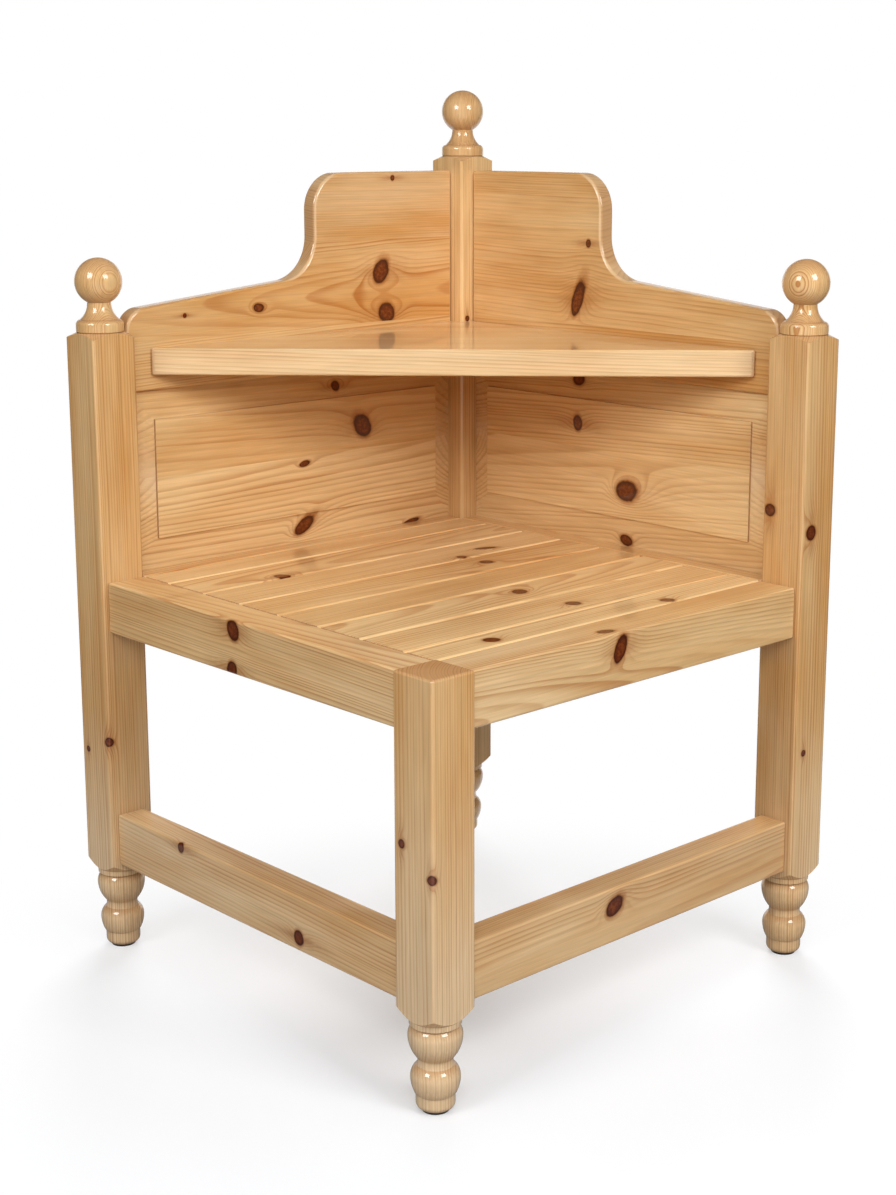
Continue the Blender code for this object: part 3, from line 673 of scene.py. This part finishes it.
build_post(
    "post_right", pith=(-0.055, -0.06), ring=0.0028, taper=0.005, lean=0.003, wander=0.007, depth=0.62,
    contrast=0.58, sap=0.15, fade=(-0.33, 0.0, 0.48), seed=37.0,
    knots=[
        Knot((0.2549, INNER, 0.5224), 0.0072, (0.1, -1, 0.2), 2.5),
        Knot((0.3, 0.2605, 0.501), 0.0085, (1, 0, 0.25), 3.0),
        Knot((0.3, 0.261, 0.2486), 0.0038, (1, 0, 0.25), 1.5),
    ],
)
build_post(
    "post_back", pith=(0.06, -0.055), ring=0.0028, taper=0.004, lean=0.002, wander=0.006, depth=0.42,
    contrast=0.6, seed=41.0, knots=[Knot((-INNER, 0.2549, 0.6985), 0.0035, (1, 0, 0.25), 1.5)],
)

# %% [markdown]
# ## The ball finials
#
# A finial is turned on its own and stands in a bored hole by a spigot. Its collar is a plain ring with rounded edges,
# a hollow runs up to the neck, and the ball sits on the neck with a crisp line.

# %% Turn the finials
COLLAR_TOP = 0.0135
COLLAR_EASE = 0.0055
BALL_CENTRE = 0.0545
JOINT = 0.00005
COLLAR_ROUND = 0.0006
COVE_LIP = 0.0004
BALL, NECK, COLLAR, COVE = (HALF_POST * share for share in (0.95, 0.475, 0.953, 0.76))


def finial_profile():
    """Return a finial from its crown to the collar's underside."""
    neck_height = BALL_CENTRE - math.sqrt(BALL * BALL - NECK * NECK)
    low_angle = math.asin((neck_height - BALL_CENTRE) / BALL)
    profile = arc((0, BALL_CENTRE), BALL, QUARTER_TURN, low_angle, 36)
    profile[0] = (0, profile[0][1])
    profile += bow((NECK, neck_height - GAP), (COVE, COLLAR_TOP + COVE_LIP), 12)[1:]
    profile += arc((COLLAR - COLLAR_EASE, COLLAR_TOP - COLLAR_EASE), COLLAR_EASE, QUARTER_TURN, 0, 6)
    profile += arc((COLLAR - COLLAR_ROUND, COLLAR_ROUND + JOINT), COLLAR_ROUND, 0, -QUARTER_TURN, 3)
    profile.append((0, JOINT))
    return profile


def build_finial(side, **look):
    """Make a finial on top of its post."""
    low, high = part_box("post_" + side)
    centre = (low + high) / 2
    finial = draw_piece("ball_finial_" + side, lathe(finial_profile(), TURNING_STEPS))
    finial.location = (centre.x, centre.y, high.z)
    settle(finial, sharp_degrees=35)
    timber(finial, ring=0.0016, polish=0.1, **TURNED, **look)
    seat(finial, "finial_" + side)


build_finial("left", pith=(0.093, -0.002), depth=0.28, contrast=0.66, seed=51.0)
build_finial("right", pith=(0.029, -0.088), taper=-0.03, depth=0.32, contrast=0.9, seed=57.0)
build_finial("back", pith=(-0.034, -0.04), taper=0.06, depth=0.46, contrast=0.6, sap=0.25, seed=61.0)

# %% [markdown]
# ## Rails, stretchers and slats
#
# These are planed sticks with sanded edges. The node's box includes hidden tenons, so the shoulders are taken from
# the posts' inner faces. What matters in the picture is the rounding: it catches a thin line of light on each edge.

# %% Build the planed sticks
RAIL_EASE = 0.0028
SLAT_EASE = 0.003
END_EASE = 0.0005


def ease_long_edges(stick, width):
    """Round only the edges that run along local X."""
    shape = bmesh.new()
    shape.from_mesh(stick.data)
    long_edges = [edge for edge in shape.edges if abs(edge.verts[0].co.x - edge.verts[1].co.x) > width]
    bmesh.ops.bevel(shape, geom=long_edges, offset=width, segments=1, profile=0.5, affect="EDGES")
    shape.to_mesh(stick.data)
    shape.free()


def build_stick(name, node, ease=RAIL_EASE, long_edges_only=False, **look):
    """Make a planed stick that stands for a node, with its grain along its longer side."""
    low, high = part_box(node)
    axis = 0 if high.x - low.x > high.y - low.y else 1
    low[axis] = max(low[axis], -INNER + GAP)
    high[axis] = min(high[axis], INNER - GAP)
    size = high - low
    stick = draw_piece(name, box_of((size[axis], size[1 - axis], size.z)))
    stick.location = (low + high) / 2
    stick.rotation_euler.z = axis * QUARTER_TURN
    if long_edges_only:
        ease_long_edges(stick, ease)
        ease = END_EASE
    ease_edges(stick, ease)
    settle(stick)
    timber(stick, **look)
    seat(stick, node)


RAIL_RECESS = 0.0065
STRETCHER_RECESS = 0.008
RAIL_FACE = HALF_SIDE - RAIL_RECESS
STRETCHER_FACE = HALF_SIDE - STRETCHER_RECESS
SEAT_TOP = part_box("slat_1")[1].z
build_stick(
    "seat_rail_front_left", "rail_front_left",
    pith=(0.03, -0.1), depth=0.42, contrast=0.62, fade=(0.25, -0.1, 0.3), seed=3.0,
    knots=[
        Knot((-0.0116, -RAIL_FACE, 0.43), 0.0095, (-0.35, -1, 0.65), 2.5),
        Knot((-0.015, -RAIL_FACE, 0.3885), 0.0085, (-0.2, -1, -0.4), 2.5),
    ],
)
build_stick(
    "seat_rail_front_right", "rail_front_right",
    pith=(-0.075, -0.03), lean=0.03, depth=0.5, contrast=0.5, fade=(-0.25, 0.15, 0.35), seed=5.0,
    knots=[
        Knot((RAIL_FACE, -0.0399, 0.422), 0.0085, (0.75, 0.45, 1.0), 3.0),
        Knot((0.28, -0.048, SEAT_TOP), 0.006, (0.3, 1.3, 1), 1.5),
    ],
)
build_stick(
    "seat_rail_back_left", "rail_back_left",
    pith=(0.05, -0.03), ring=0.0032, depth=0.45, contrast=0.75, seed=7.0,
)
build_stick(
    "seat_rail_back_right", "rail_back_right",
    pith=(0.045, -0.03), ring=0.0032, depth=0.45, contrast=0.75, seed=9.0,
)
build_stick(
    "low_stretcher_left", "stretcher_left",
    pith=(0.05, 0.085), ring=0.0032, lean=0.01, depth=0.34, contrast=0.48, sap=0.5, seed=13.0,
    knots=[
        Knot((-0.1204, -STRETCHER_FACE, 0.1642), 0.0055, (0.1, -1, 0.6), 2.0),
        Knot((0.0861, -STRETCHER_FACE, 0.1242), 0.008, (0.1, -1, -0.2), 3.0),
    ],
)
build_stick(
    "low_stretcher_right", "stretcher_right",
    pith=(-0.085, -0.03), ring=0.0032, lean=-0.02, depth=0.46, contrast=0.5, sap=0.5, seed=17.0,
    knots=[Knot((STRETCHER_FACE, -0.0413, 0.1487), 0.0095, (1, 0.9, 0.5), 4.0)],
)

# %% [markdown]
# The eight slats come from different trees, so each has its own pith, depth of colour and knots. Their long edges are
# cut to a crisp chamfer, and their polish is a little weaker than that of the upright parts.

# %% Lay the slats
SLAT_KNOTS = {
    1: [
        Knot((0.2251, -0.1536, SEAT_TOP), 0.0075, (0.3, 0.6, 1), 3.0),
        Knot((0.2345, 0.0986, SEAT_TOP), 0.007, (0.3, 0.6, 1), 2.5),
    ],
    2: [Knot((0.1754, 0.0146, SEAT_TOP), 0.0078, (0.3, 0.4, 1), 3.5)],
    3: [Knot((0.0983, 0.0115, SEAT_TOP), 0.0085, (0.4, -0.5, 1), 3.5)],
    5: [Knot((-0.0337, 0.0868, SEAT_TOP), 0.0075, (0.3, 0.4, 1), 3.5)],
    6: [
        Knot((-0.0731, 0.0845, SEAT_TOP), 0.006, (0, 0.3, 1), 2.5),
        Knot((-0.09, 0.137, SEAT_TOP), 0.005, (0.8, 2.4, 1), 2.5),
    ],
    7: [Knot((-0.1376, -0.132, SEAT_TOP), 0.0085, (0.6, 0.3, 1), 3.5)],
}
SLAT_LOOKS = [
    dict(pith=(0.06, -0.045), depth=0.1, contrast=0.6, lean=0.01),
    dict(pith=(-0.09, -0.03), depth=0.15, contrast=0.65, lean=-0.01),
    dict(pith=(0.02, -0.06), depth=0.14, contrast=0.6, taper=0.04),
    dict(pith=(0.1, -0.02), depth=0.42, contrast=0.6, lean=0.01),
    dict(pith=(-0.03, -0.05), depth=0.58, contrast=0.65, taper=0.03),
    dict(pith=(-0.12, -0.015), depth=0.1, contrast=0.6, lean=0.01),
    dict(pith=(-0.008, -0.06), depth=0.18, contrast=0.65, taper=-0.03),
    dict(pith=(0.09, -0.025), depth=0.22, contrast=0.6, lean=-0.01),
]
for number, look in enumerate(SLAT_LOOKS, 1):
    build_stick(
        f"seat_slat_{number}", f"slat_{number}", SLAT_EASE, long_edges_only=True, ring=0.0034,
        seed=70.0 + 7.0 * number, knots=SLAT_KNOTS.get(number, ()), coat=0.7, **look,
    )

# %% [markdown]
# ## The scrolled boards
#
# Each board above a panel is glued up from three staves and then sawn to a scroll: high by the back post, an ogee,
# and a slope down to the side post. The outline is walked with arcs. Seams between staves are cut into the mesh, so
# that each stave can carry its own material and show where one tree ends and the next begins.

# %% Walk the board's outline
BOARD_LOW, BOARD_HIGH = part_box("board_right")
BOARD_THICKNESS = 0.022
BOARD_RECESS = 0.0185
BOARD_BOTTOM = BOARD_LOW.z
BOARD_TOP = BOARD_HIGH.z
BOARD_END_HEIGHT = 0.067
SPAN = 2 * INNER
HIGH_WIDTH = 0.2215
CORNER_RADIUS = 0.0435
COVE_RADIUS = 0.051
END_RADIUS = 0.0265
SLOPE_SHARE = 0.098
BOARD_EASE = 0.004


def board_outline():
    """Return the board's outline: distance from the back post, height."""
    slope = math.atan(SLOPE_SHARE)
    end_top = BOARD_BOTTOM + BOARD_END_HEIGHT
    end = arc((SPAN - GAP - END_RADIUS, end_top), END_RADIUS, 0, QUARTER_TURN - slope, 14)
    cove_along = HIGH_WIDTH + COVE_RADIUS
    rise = COVE_RADIUS - (cove_along - end[-1][0]) * math.sin(slope)
    cove_centre = (cove_along, end[-1][1] + rise / math.cos(slope))
    cove = arc(cove_centre, COVE_RADIUS, 3 * QUARTER_TURN - slope, math.pi, 18)
    corner_centre = (HIGH_WIDTH - CORNER_RADIUS, BOARD_TOP - CORNER_RADIUS)
    corner = arc(corner_centre, CORNER_RADIUS, 0, QUARTER_TURN, 18)
    base = [(GAP, BOARD_BOTTOM), (SPAN - GAP, BOARD_BOTTOM)]
    return base + end + cove + corner + [(GAP, BOARD_TOP)]


def plate_of(points, thickness):
    """Return a function that draws a flat plate from an outline in X and Y."""
    def draw(shape):
        face = shape.faces.new([shape.verts.new((x, y, -thickness / 2)) for x, y in points])
        grown = bmesh.ops.extrude_face_region(shape, geom=[face])
        risen = [item for item in grown["geom"] if isinstance(item, bmesh.types.BMVert)]
        bmesh.ops.translate(shape, vec=(0, 0, thickness), verts=risen)
    return draw


# %% [markdown]
# Boards and panels stand in the same two walls. A glued piece is cut along its seams after its edges are eased, so the
# roundings run through all its staves as they do when a glued board is sanded.

# %% Hang a plate in its wall and split it into staves
WALL = INNER + BOARD_RECESS + BOARD_THICKNESS / 2


def hang(piece, side, along, height, left_turn):
    """Stand a plate upright between two posts; along is its place from the middle of its side."""
    right = side == "right"
    piece.location = (-along, WALL, height) if right else (-WALL, along, height)
    piece.rotation_euler = (QUARTER_TURN, 0, 0 if right else left_turn)


def cut_staves(piece, seams):
    """Cut the mesh along seams across local Y and give each stave its material's number."""
    shape = bmesh.new()
    shape.from_mesh(piece.data)
    for seam in seams:
        everything = shape.verts[:] + shape.edges[:] + shape.faces[:]
        bmesh.ops.bisect_plane(shape, geom=everything, plane_co=(0, seam, 0), plane_no=(0, 1, 0))
    for face in shape.faces:
        height = face.calc_center_median().y
        face.material_index = sum(height > seam for seam in seams)
    shape.to_mesh(piece.data)
    shape.free()


def glue_up(piece, node, seams, looks, edge_grain_and_shade=0.0):
    """Split a settled piece into staves, lowest first, each with its own timber, and seat it."""
    cut_staves(piece, seams)
    for number, look in enumerate(looks, 1):
        timber(piece, part=f"stave_{number}", edge_grain_and_shade=edge_grain_and_shade, **look)
    seat(piece, node)


def build_board(side, seams, *looks):
    """Make a scrolled board."""
    board = draw_piece("scrolled_board_" + side, plate_of(board_outline(), BOARD_THICKNESS))
    hang(board, side, INNER, 0, -QUARTER_TURN)
    ease_edges(board, BOARD_EASE)
    settle(board)
    # The board's edges are darkened at half strength: partly end grain, partly painted shade.
    glue_up(board, "board_" + side, seams, looks, edge_grain_and_shade=0.5)


BOARD_FACE = INNER + BOARD_RECESS
build_board(
    "left", (0.7022, 0.802),
    dict(pith=(0.55, -0.04), ring=0.0034, lean=0.02, depth=0.48, contrast=0.55, seed=101.0),
    dict(
        pith=(0.738, -0.075), taper=0.03, wander=0.006, depth=0.72, contrast=0.74, sap=0.12, seed=105.0,
        knots=[
            Knot((-BOARD_FACE, 0.1258, 0.7618), 0.0118, (1, 0.45, 0.75), 3.5),
            Knot((-BOARD_FACE, 0.1361, 0.712), 0.0125, (1, -0.4, 0.2), 3.5),
            Knot((-BOARD_FACE, -0.0621, 0.7304), 0.0052, (1, 1.1, -0.1), 3.0),
            Knot((-BOARD_FACE, -0.1659, 0.7278), 0.0026, (1, 0, 0), 1.0),
        ],
    ),
    dict(
        pith=(1.05, -0.02), ring=0.0028, lean=-0.01, wander=0.006, depth=0.6, contrast=0.3, sap=0.6,
        seed=109.0, knots=[Knot((-BOARD_FACE, 0.1467, 0.876), 0.0034, (1, 0, 0), 1.5)],
    ),
)
build_board(
    "right", (0.703, 0.8565),
    dict(pith=(0.53, -0.03), ring=0.0042, lean=-0.02, depth=0.8, contrast=0.55, seed=121.0),
    dict(
        pith=(0.6, -0.06), ring=0.0046, lean=0.02, wander=0.014, depth=0.54, contrast=0.38, seed=125.0,
        knots=[
            Knot((-0.061, BOARD_FACE, 0.73), 0.0088, (0.62, -0.8, 1.7), 4.0),
            Knot((-0.0432, BOARD_FACE, 0.8008), 0.0042, (0.1, -1, 0.6), 1.5),
        ],
    ),
    dict(pith=(1.1, -0.02), lean=0.01, wander=0.006, depth=0.66, contrast=0.34, seed=129.0),
)

# %% [markdown]
# ## The raised and fielded panels
#
# A fielded panel has a flat middle that stands a small step above a sloping border, so that its thin edge fits in a
# groove. The border is planed from the same board, so the grain runs through. The mesh is a slab whose front face is
# inset twice: once for the tongue that the groove hides and once for the border.

# %% Build the fielded panels
TONGUE_THICKNESS = 0.008
TONGUE_LENGTH = 0.007
PANEL_MARGIN = 0.032
PANEL_BOTTOM_MARGIN = 0.0365
BEVEL_RISE = 0.008
FIELD_STEP = 0.003
FIELD_EASE = 0.0005


def draw_panel(length, height):
    """Return a function that draws a fielded panel, its face towards local +Z."""
    def draw(shape):
        box_of((length, height, TONGUE_THICKNESS))(shape)
        face = max(shape.faces, key=lambda each: each.calc_center_median().z)
        for width in (TONGUE_LENGTH, PANEL_MARGIN):
            bmesh.ops.inset_region(shape, faces=[face], thickness=width, use_even_offset=True)
        bmesh.ops.translate(shape, vec=(0, 0, BEVEL_RISE), verts=face.verts)
        low = [corner for corner in face.verts if corner.co.y < 0]
        bmesh.ops.translate(shape, vec=(0, PANEL_BOTTOM_MARGIN - PANEL_MARGIN, 0), verts=low)
        field = bmesh.ops.extrude_discrete_faces(shape, faces=[face])["faces"][0]
        bmesh.ops.translate(shape, vec=(0, 0, FIELD_STEP), verts=field.verts)
    return draw


def build_panel(side, seams, *looks):
    """Make a fielded panel."""
    low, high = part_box("panel_" + side)
    middle = ((low + high) / 2).z
    length = max(high.x - low.x, high.y - low.y)
    panel = draw_piece("fielded_panel_" + side, draw_panel(length, high.z - low.z))
    hang(panel, side, 0, middle, QUARTER_TURN)
    ease_edges(panel, FIELD_EASE, segments=2)
    settle(panel, sharp_degrees=25)
    glue_up(panel, "panel_" + side, [seam - middle for seam in seams], looks)


FIELD_RECESS = 0.0145
FIELD_FACE = INNER + FIELD_RECESS
build_panel(
    "left", (0.548,),
    dict(
        pith=(0.03, -0.15), lean=0.03, depth=0.1, contrast=0.54, seed=141.0,
        knots=[
            Knot((-FIELD_FACE, -0.0014, 0.5391), 0.0036, (0.6, 1.2, 0.2), 1.5),
            Knot((-FIELD_FACE, 0.0065, 0.464), 0.0106, (1, 0.95, 0.5), 4.0),
            Knot((-FIELD_FACE - 0.009, 0.184, 0.442), 0.004, (0.5, 1.5, 0.1), 2.0),
        ],
    ),
    dict(
        pith=(0.12, -0.12), ring=0.0044, lean=0.03, taper=-0.01, depth=0.5, contrast=0.42, seed=143.0,
        knots=[
            Knot((-FIELD_FACE, 0.0923, 0.575), 0.0122, (1, -0.6, 0.6), 2.5),
            Knot((-FIELD_FACE, 0.0551, 0.63), 0.0068, (1, 0.2, 0.3), 3.5),
        ],
    ),
)
build_panel(
    "right", (0.556,),
    dict(
        pith=(0.035, -0.15), lean=-0.04, depth=0.13, contrast=0.44, seed=151.0,
        knots=[
            Knot((0.0259, FIELD_FACE, 0.5111), 0.0126, (0.9, -1, 0.1), 7.0),
            Knot((0.0225, FIELD_FACE + 0.006, 0.448), 0.0078, (0.9, -1, -0.3), 2.5),
        ],
    ),
    dict(
        pith=(0.24, -0.12), ring=0.0044, lean=-0.03, wander=0.012, depth=0.3, contrast=0.5, seed=153.0,
        knots=[
            Knot((-0.0534, FIELD_FACE, 0.5839), 0.0076, (-0.1, -1, 0.8), 2.5),
            Knot((-0.059, FIELD_FACE + 0.006, 0.637), 0.0078, (0.8, -1, 0.1), 2.5),
        ],
    ),
)

# %% [markdown]
# ## The corner shelf
#
# The shelf is a thick board cut to a triangle, notched round the back post. Its grain runs parallel to its long front
# edge, so its timber is turned by an eighth of a turn against the piece.

# %% Build the shelf
SHELF_LOW, SHELF_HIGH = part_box("shelf")
SHELF_TIP = 0.005
SHELF_EASE = 0.0022
EIGHTH_TURN = QUARTER_TURN / 2


def shelf_outline():
    """Return the shelf's plan in the frame's X and Y."""
    wall = SHELF_HIGH.y
    tip = SHELF_HIGH.x
    post = INNER - GAP
    shoulder = wall - SHELF_TIP
    return [(-wall, -tip), (-shoulder, -tip), (tip, shoulder), (tip, wall), (-post, wall), (-post, post), (-wall, post)]


def build_shelf(**look):
    """Make the shelf, with its grain along the front edge."""
    shelf = draw_piece("corner_shelf", plate_of(shelf_outline(), SHELF_HIGH.z - SHELF_LOW.z))
    shelf.location = (0, 0, (SHELF_LOW.z + SHELF_HIGH.z) / 2)
    ease_edges(shelf, SHELF_EASE)
    settle(shelf)
    timber(shelf, turn=EIGHTH_TURN, **look)
    seat(shelf, "shelf")


build_shelf(pith=(-0.06, -0.09), ring=0.0028, lean=0.01, depth=0.22, contrast=0.4, sap=0.38, seed=171.0)

# %% [markdown]
# ## Hidden strips, screws and glides
#
# The strips under the slats and the shelf are never polished, so they carry the same timber with a weak coat. Screws
# and glides are small, and their nodes already have the right shape: they only get their materials.

# %% Build the bearing strips
STRIP_EASE = 0.001
STRIP_SEED = 200.0
for node in ("cleat_front_left", "cleat_back_right", "bearer_left", "bearer_right"):
    build_stick(
        node.replace("cleat", "slat_cleat").replace("bearer", "shelf_bearer"), node, STRIP_EASE,
        pith=(0.04, -0.03), depth=0.2, contrast=0.7, seed=STRIP_SEED + len(node), coat=0.2,
    )

# %% Finish the screws and glides
def plain_material(name, colour, roughness, metallic, waves, depth):
    """Make a material with a fine mottle in its colour, roughness and surface."""
    material, shader, w = new_material(name)
    mottle = w.noise(w.add("TexCoord")["Object"], waves, 3.0, 0.6)
    darker = tuple(value * 0.6 for value in colour)
    w.fill(
        shader, Base_Color=w.mix(mottle, (*darker, 1.0), (*colour, 1.0)), Metallic=metallic,
        Roughness=w.plus(roughness - 0.1, w.times(mottle, 0.2)), Normal=w.relief(mottle, depth),
    )
    return material


GLIDE_PLASTIC = plain_material(
    "glide_plastic", (0.045, 0.038, 0.032), roughness=0.5, metallic=0.0, waves=900.0, depth=0.0002
)
ZINC = plain_material("zinc_steel", (0.62, 0.6, 0.55), roughness=0.35, metallic=1.0, waves=1500.0, depth=0.00005)
for name, node in NODES.items():
    finish = GLIDE_PLASTIC if name.startswith("glide_") else ZINC if "screw" in name else None
    if finish:
        node.data.materials.clear()
        node.data.materials.append(finish)
print("still shown from the frame:", sum(not node.hide_render for node in NODES.values()))

# %% [markdown]
# ## Floor, light and camera
#
# The picture is a product shot: white all round, with soft shadows under the piece. Floor and world glow white to the
# camera, and only a round patch under the piece gives way to paper that takes a shadow. What the lacquer mirrors is
# set apart from that: a room that is dim at the sides, grey paper near the piece, and a bright sheet of paper that
# runs from the camera's side under the piece and up behind it.

# %% Lay the white floor
FLOOR_SIDE = 40
BLACK = (0, 0, 0, 1)
WHITE = (1, 1, 1, 1)
FLOOR_SEEN = (0.735, 0.75, 0.775, 1)
FLOOR_BOUNCE = (0.4, 0.4, 0.4, 1)
FLOOR_GLOW = 0.235
SHADOW_CENTRE = (0.2, -0.18, 0.0)
SHADOW_EDGE = (0.28, 0.74)
PAPER_EDGE = (0.9, 1.5)
PAPER_NEAR = 0.32
ROOM_DIM = 0.05
BACKDROP_SIDE = (-0.729, 0.684, 0.0)
BACKDROP_SPREAD = (0.66, 0.86)


def build_floor():
    """Make a large floor that is white to the camera but keeps the piece's shadow."""
    bpy.ops.mesh.primitive_plane_add(size=FLOOR_SIDE)
    floor = bpy.context.object
    floor.name = "studio_floor"
    material, shader, w = new_material("studio_floor_white")
    path = w.add("LightPath")
    eye = path["Is Camera Ray"]
    mirror = path["Is Glossy Ray"]
    spot = w.add("TexCoord")["Object"]
    near = w.step(w.vector("DISTANCE", spot, SHADOW_CENTRE), *SHADOW_EDGE, 1.0, 0.0)
    paper = w.step(w.vector("LENGTH", spot), *PAPER_EDGE, PAPER_NEAR, ROOM_DIM)
    ahead = w.math("ABSOLUTE", w.vector("DOT_PRODUCT", w.vector("NORMALIZE", spot), BACKDROP_SIDE))
    paper = w.math("MAXIMUM", paper, w.step(ahead, *BACKDROP_SPREAD))
    unseen = w.mix(mirror, FLOOR_BOUNCE, BLACK)
    glow = w.minus(1.0, w.times(near, 1.0 - FLOOR_GLOW))
    w.fill(
        shader, Base_Color=w.mix(eye, unseen, w.mix(near, BLACK, FLOOR_SEEN)), Roughness=0.9,
        Specular_IOR_Level=0.0, Emission_Color=WHITE,
        Emission_Strength=w.plus(w.times(glow, eye), w.times(w.times(glow, paper), mirror)),
    )
    floor.data.materials.append(material)
    print("studio floor:", FLOOR_SIDE, "m wide")


build_floor()

# %% [markdown]
# The world is white to the camera too. In reflections it shows the sheet behind the piece, and to the wood it is a
# weak light that comes from above. Two soft boxes left and right of the camera and three fills light the wood and
# don't show in the lacquer. The two highlight boxes show in the lacquer alone, as pairs of bright squares on the balls.

# %% Light the studio
AIM = Vector((0, 0, 0.5))
CAMERA_AZIMUTH = 46.78
AMBIENT = 0.24
BACKDROP_RISE = (0.12, 0.42)
CEILING_RISE = (0.05, 0.5)
# Turn from the camera, elevation, distance, side, watts, and whether the lacquer alone shows it.
LAMPS = {
    "soft_box_left": (-42, 30, 2.8, 1.1, 21.5, False),
    "soft_box_right": (42, 30, 2.8, 1.1, 35, False),
    "fill_front": (0, 27, 3.0, 1.5, 31, False),
    "fill_above": (0, 78, 2.4, 1.6, 9.5, False),
    "fill_back": (180, 30, 3.0, 1.8, 64, False),
    "highlight_left": (-42, 32, 2.8, 1.0, 45, True),
    "highlight_right": (42, 32, 2.8, 1.0, 45, True),
}


def build_world():
    """Make a world that is white to the camera, and in reflections white on the backdrop's side only."""
    world = bpy.data.worlds.new("studio")
    world.use_nodes = True
    bpy.context.scene.world = world
    background = world.node_tree.nodes["Background"]
    w = Wiring(world.node_tree)
    path = w.add("LightPath")
    mirror = path["Is Glossy Ray"]
    direction = w.add("TexCoord")["Generated"]
    rise = w.separate(direction)[2]
    sheet = w.step(w.vector("DOT_PRODUCT", direction, BACKDROP_SIDE), *BACKDROP_SPREAD)
    sheet = w.times(sheet, w.step(rise, *BACKDROP_RISE, 1.0, 0.0))
    behind = w.math("MAXIMUM", sheet, ROOM_DIM)
    above = w.times(w.step(rise, *CEILING_RISE, ROOM_DIM, 1.0), AMBIENT)
    strength = w.plus(w.times(behind, mirror), w.times(w.minus(1.0, mirror), above))
    clear = w.math("MAXIMUM", path["Is Camera Ray"], path["Is Transmission Ray"])
    w.fill(background, Color=WHITE, Strength=w.math("MAXIMUM", strength, clear))


def hang_lamp(name, turn, elevation, distance, side, watts, shines):
    """Hang a square lamp at an angle round the piece; one that shines shows in the lacquer only."""
    light = bpy.data.lights.new(name, "AREA")
    light.shape = "RECTANGLE"
    light.size = light.size_y = side
    light.energy = watts
    lamp = bpy.data.objects.new(name, light)
    around = math.radians(CAMERA_AZIMUTH + turn)
    up = math.radians(elevation)
    away = Vector((math.sin(around) * math.cos(up), -math.cos(around) * math.cos(up), math.sin(up)))
    lamp.location = AIM + away * distance
    lamp.rotation_euler = away.to_track_quat("Z", "Y").to_euler()
    lamp.visible_glossy = shines
    lamp.visible_diffuse = not shines
    bpy.context.scene.collection.objects.link(lamp)


build_world()
for name, settings in LAMPS.items():
    hang_lamp(name, *settings)
print("lamps:", ", ".join(LAMPS))

# %% [markdown]
# The camera stands where the photographer's stood: its place, angle and lens were fitted to the edges in the picture.
# The shift moves the picture in its frame without turning the camera.

# %% Set up the camera
CAMERA_PLACE = (1.5674, -1.4431, 0.9356)
CAMERA_ELEVATION = 11.82
LENS = 58.68
SHIFT = (-0.0186, -0.0517)
camera = bpy.data.objects.new("camera", bpy.data.cameras.new("camera"))
camera.data.lens = LENS
camera.data.sensor_width = 36
camera.data.shift_x, camera.data.shift_y = SHIFT
camera.location = CAMERA_PLACE
camera.rotation_euler = (math.radians(90 - CAMERA_ELEVATION), 0, math.radians(CAMERA_AZIMUTH))
bpy.context.scene.collection.objects.link(camera)
bpy.context.scene.camera = camera
bpy.context.scene.view_settings.view_transform = "Standard"
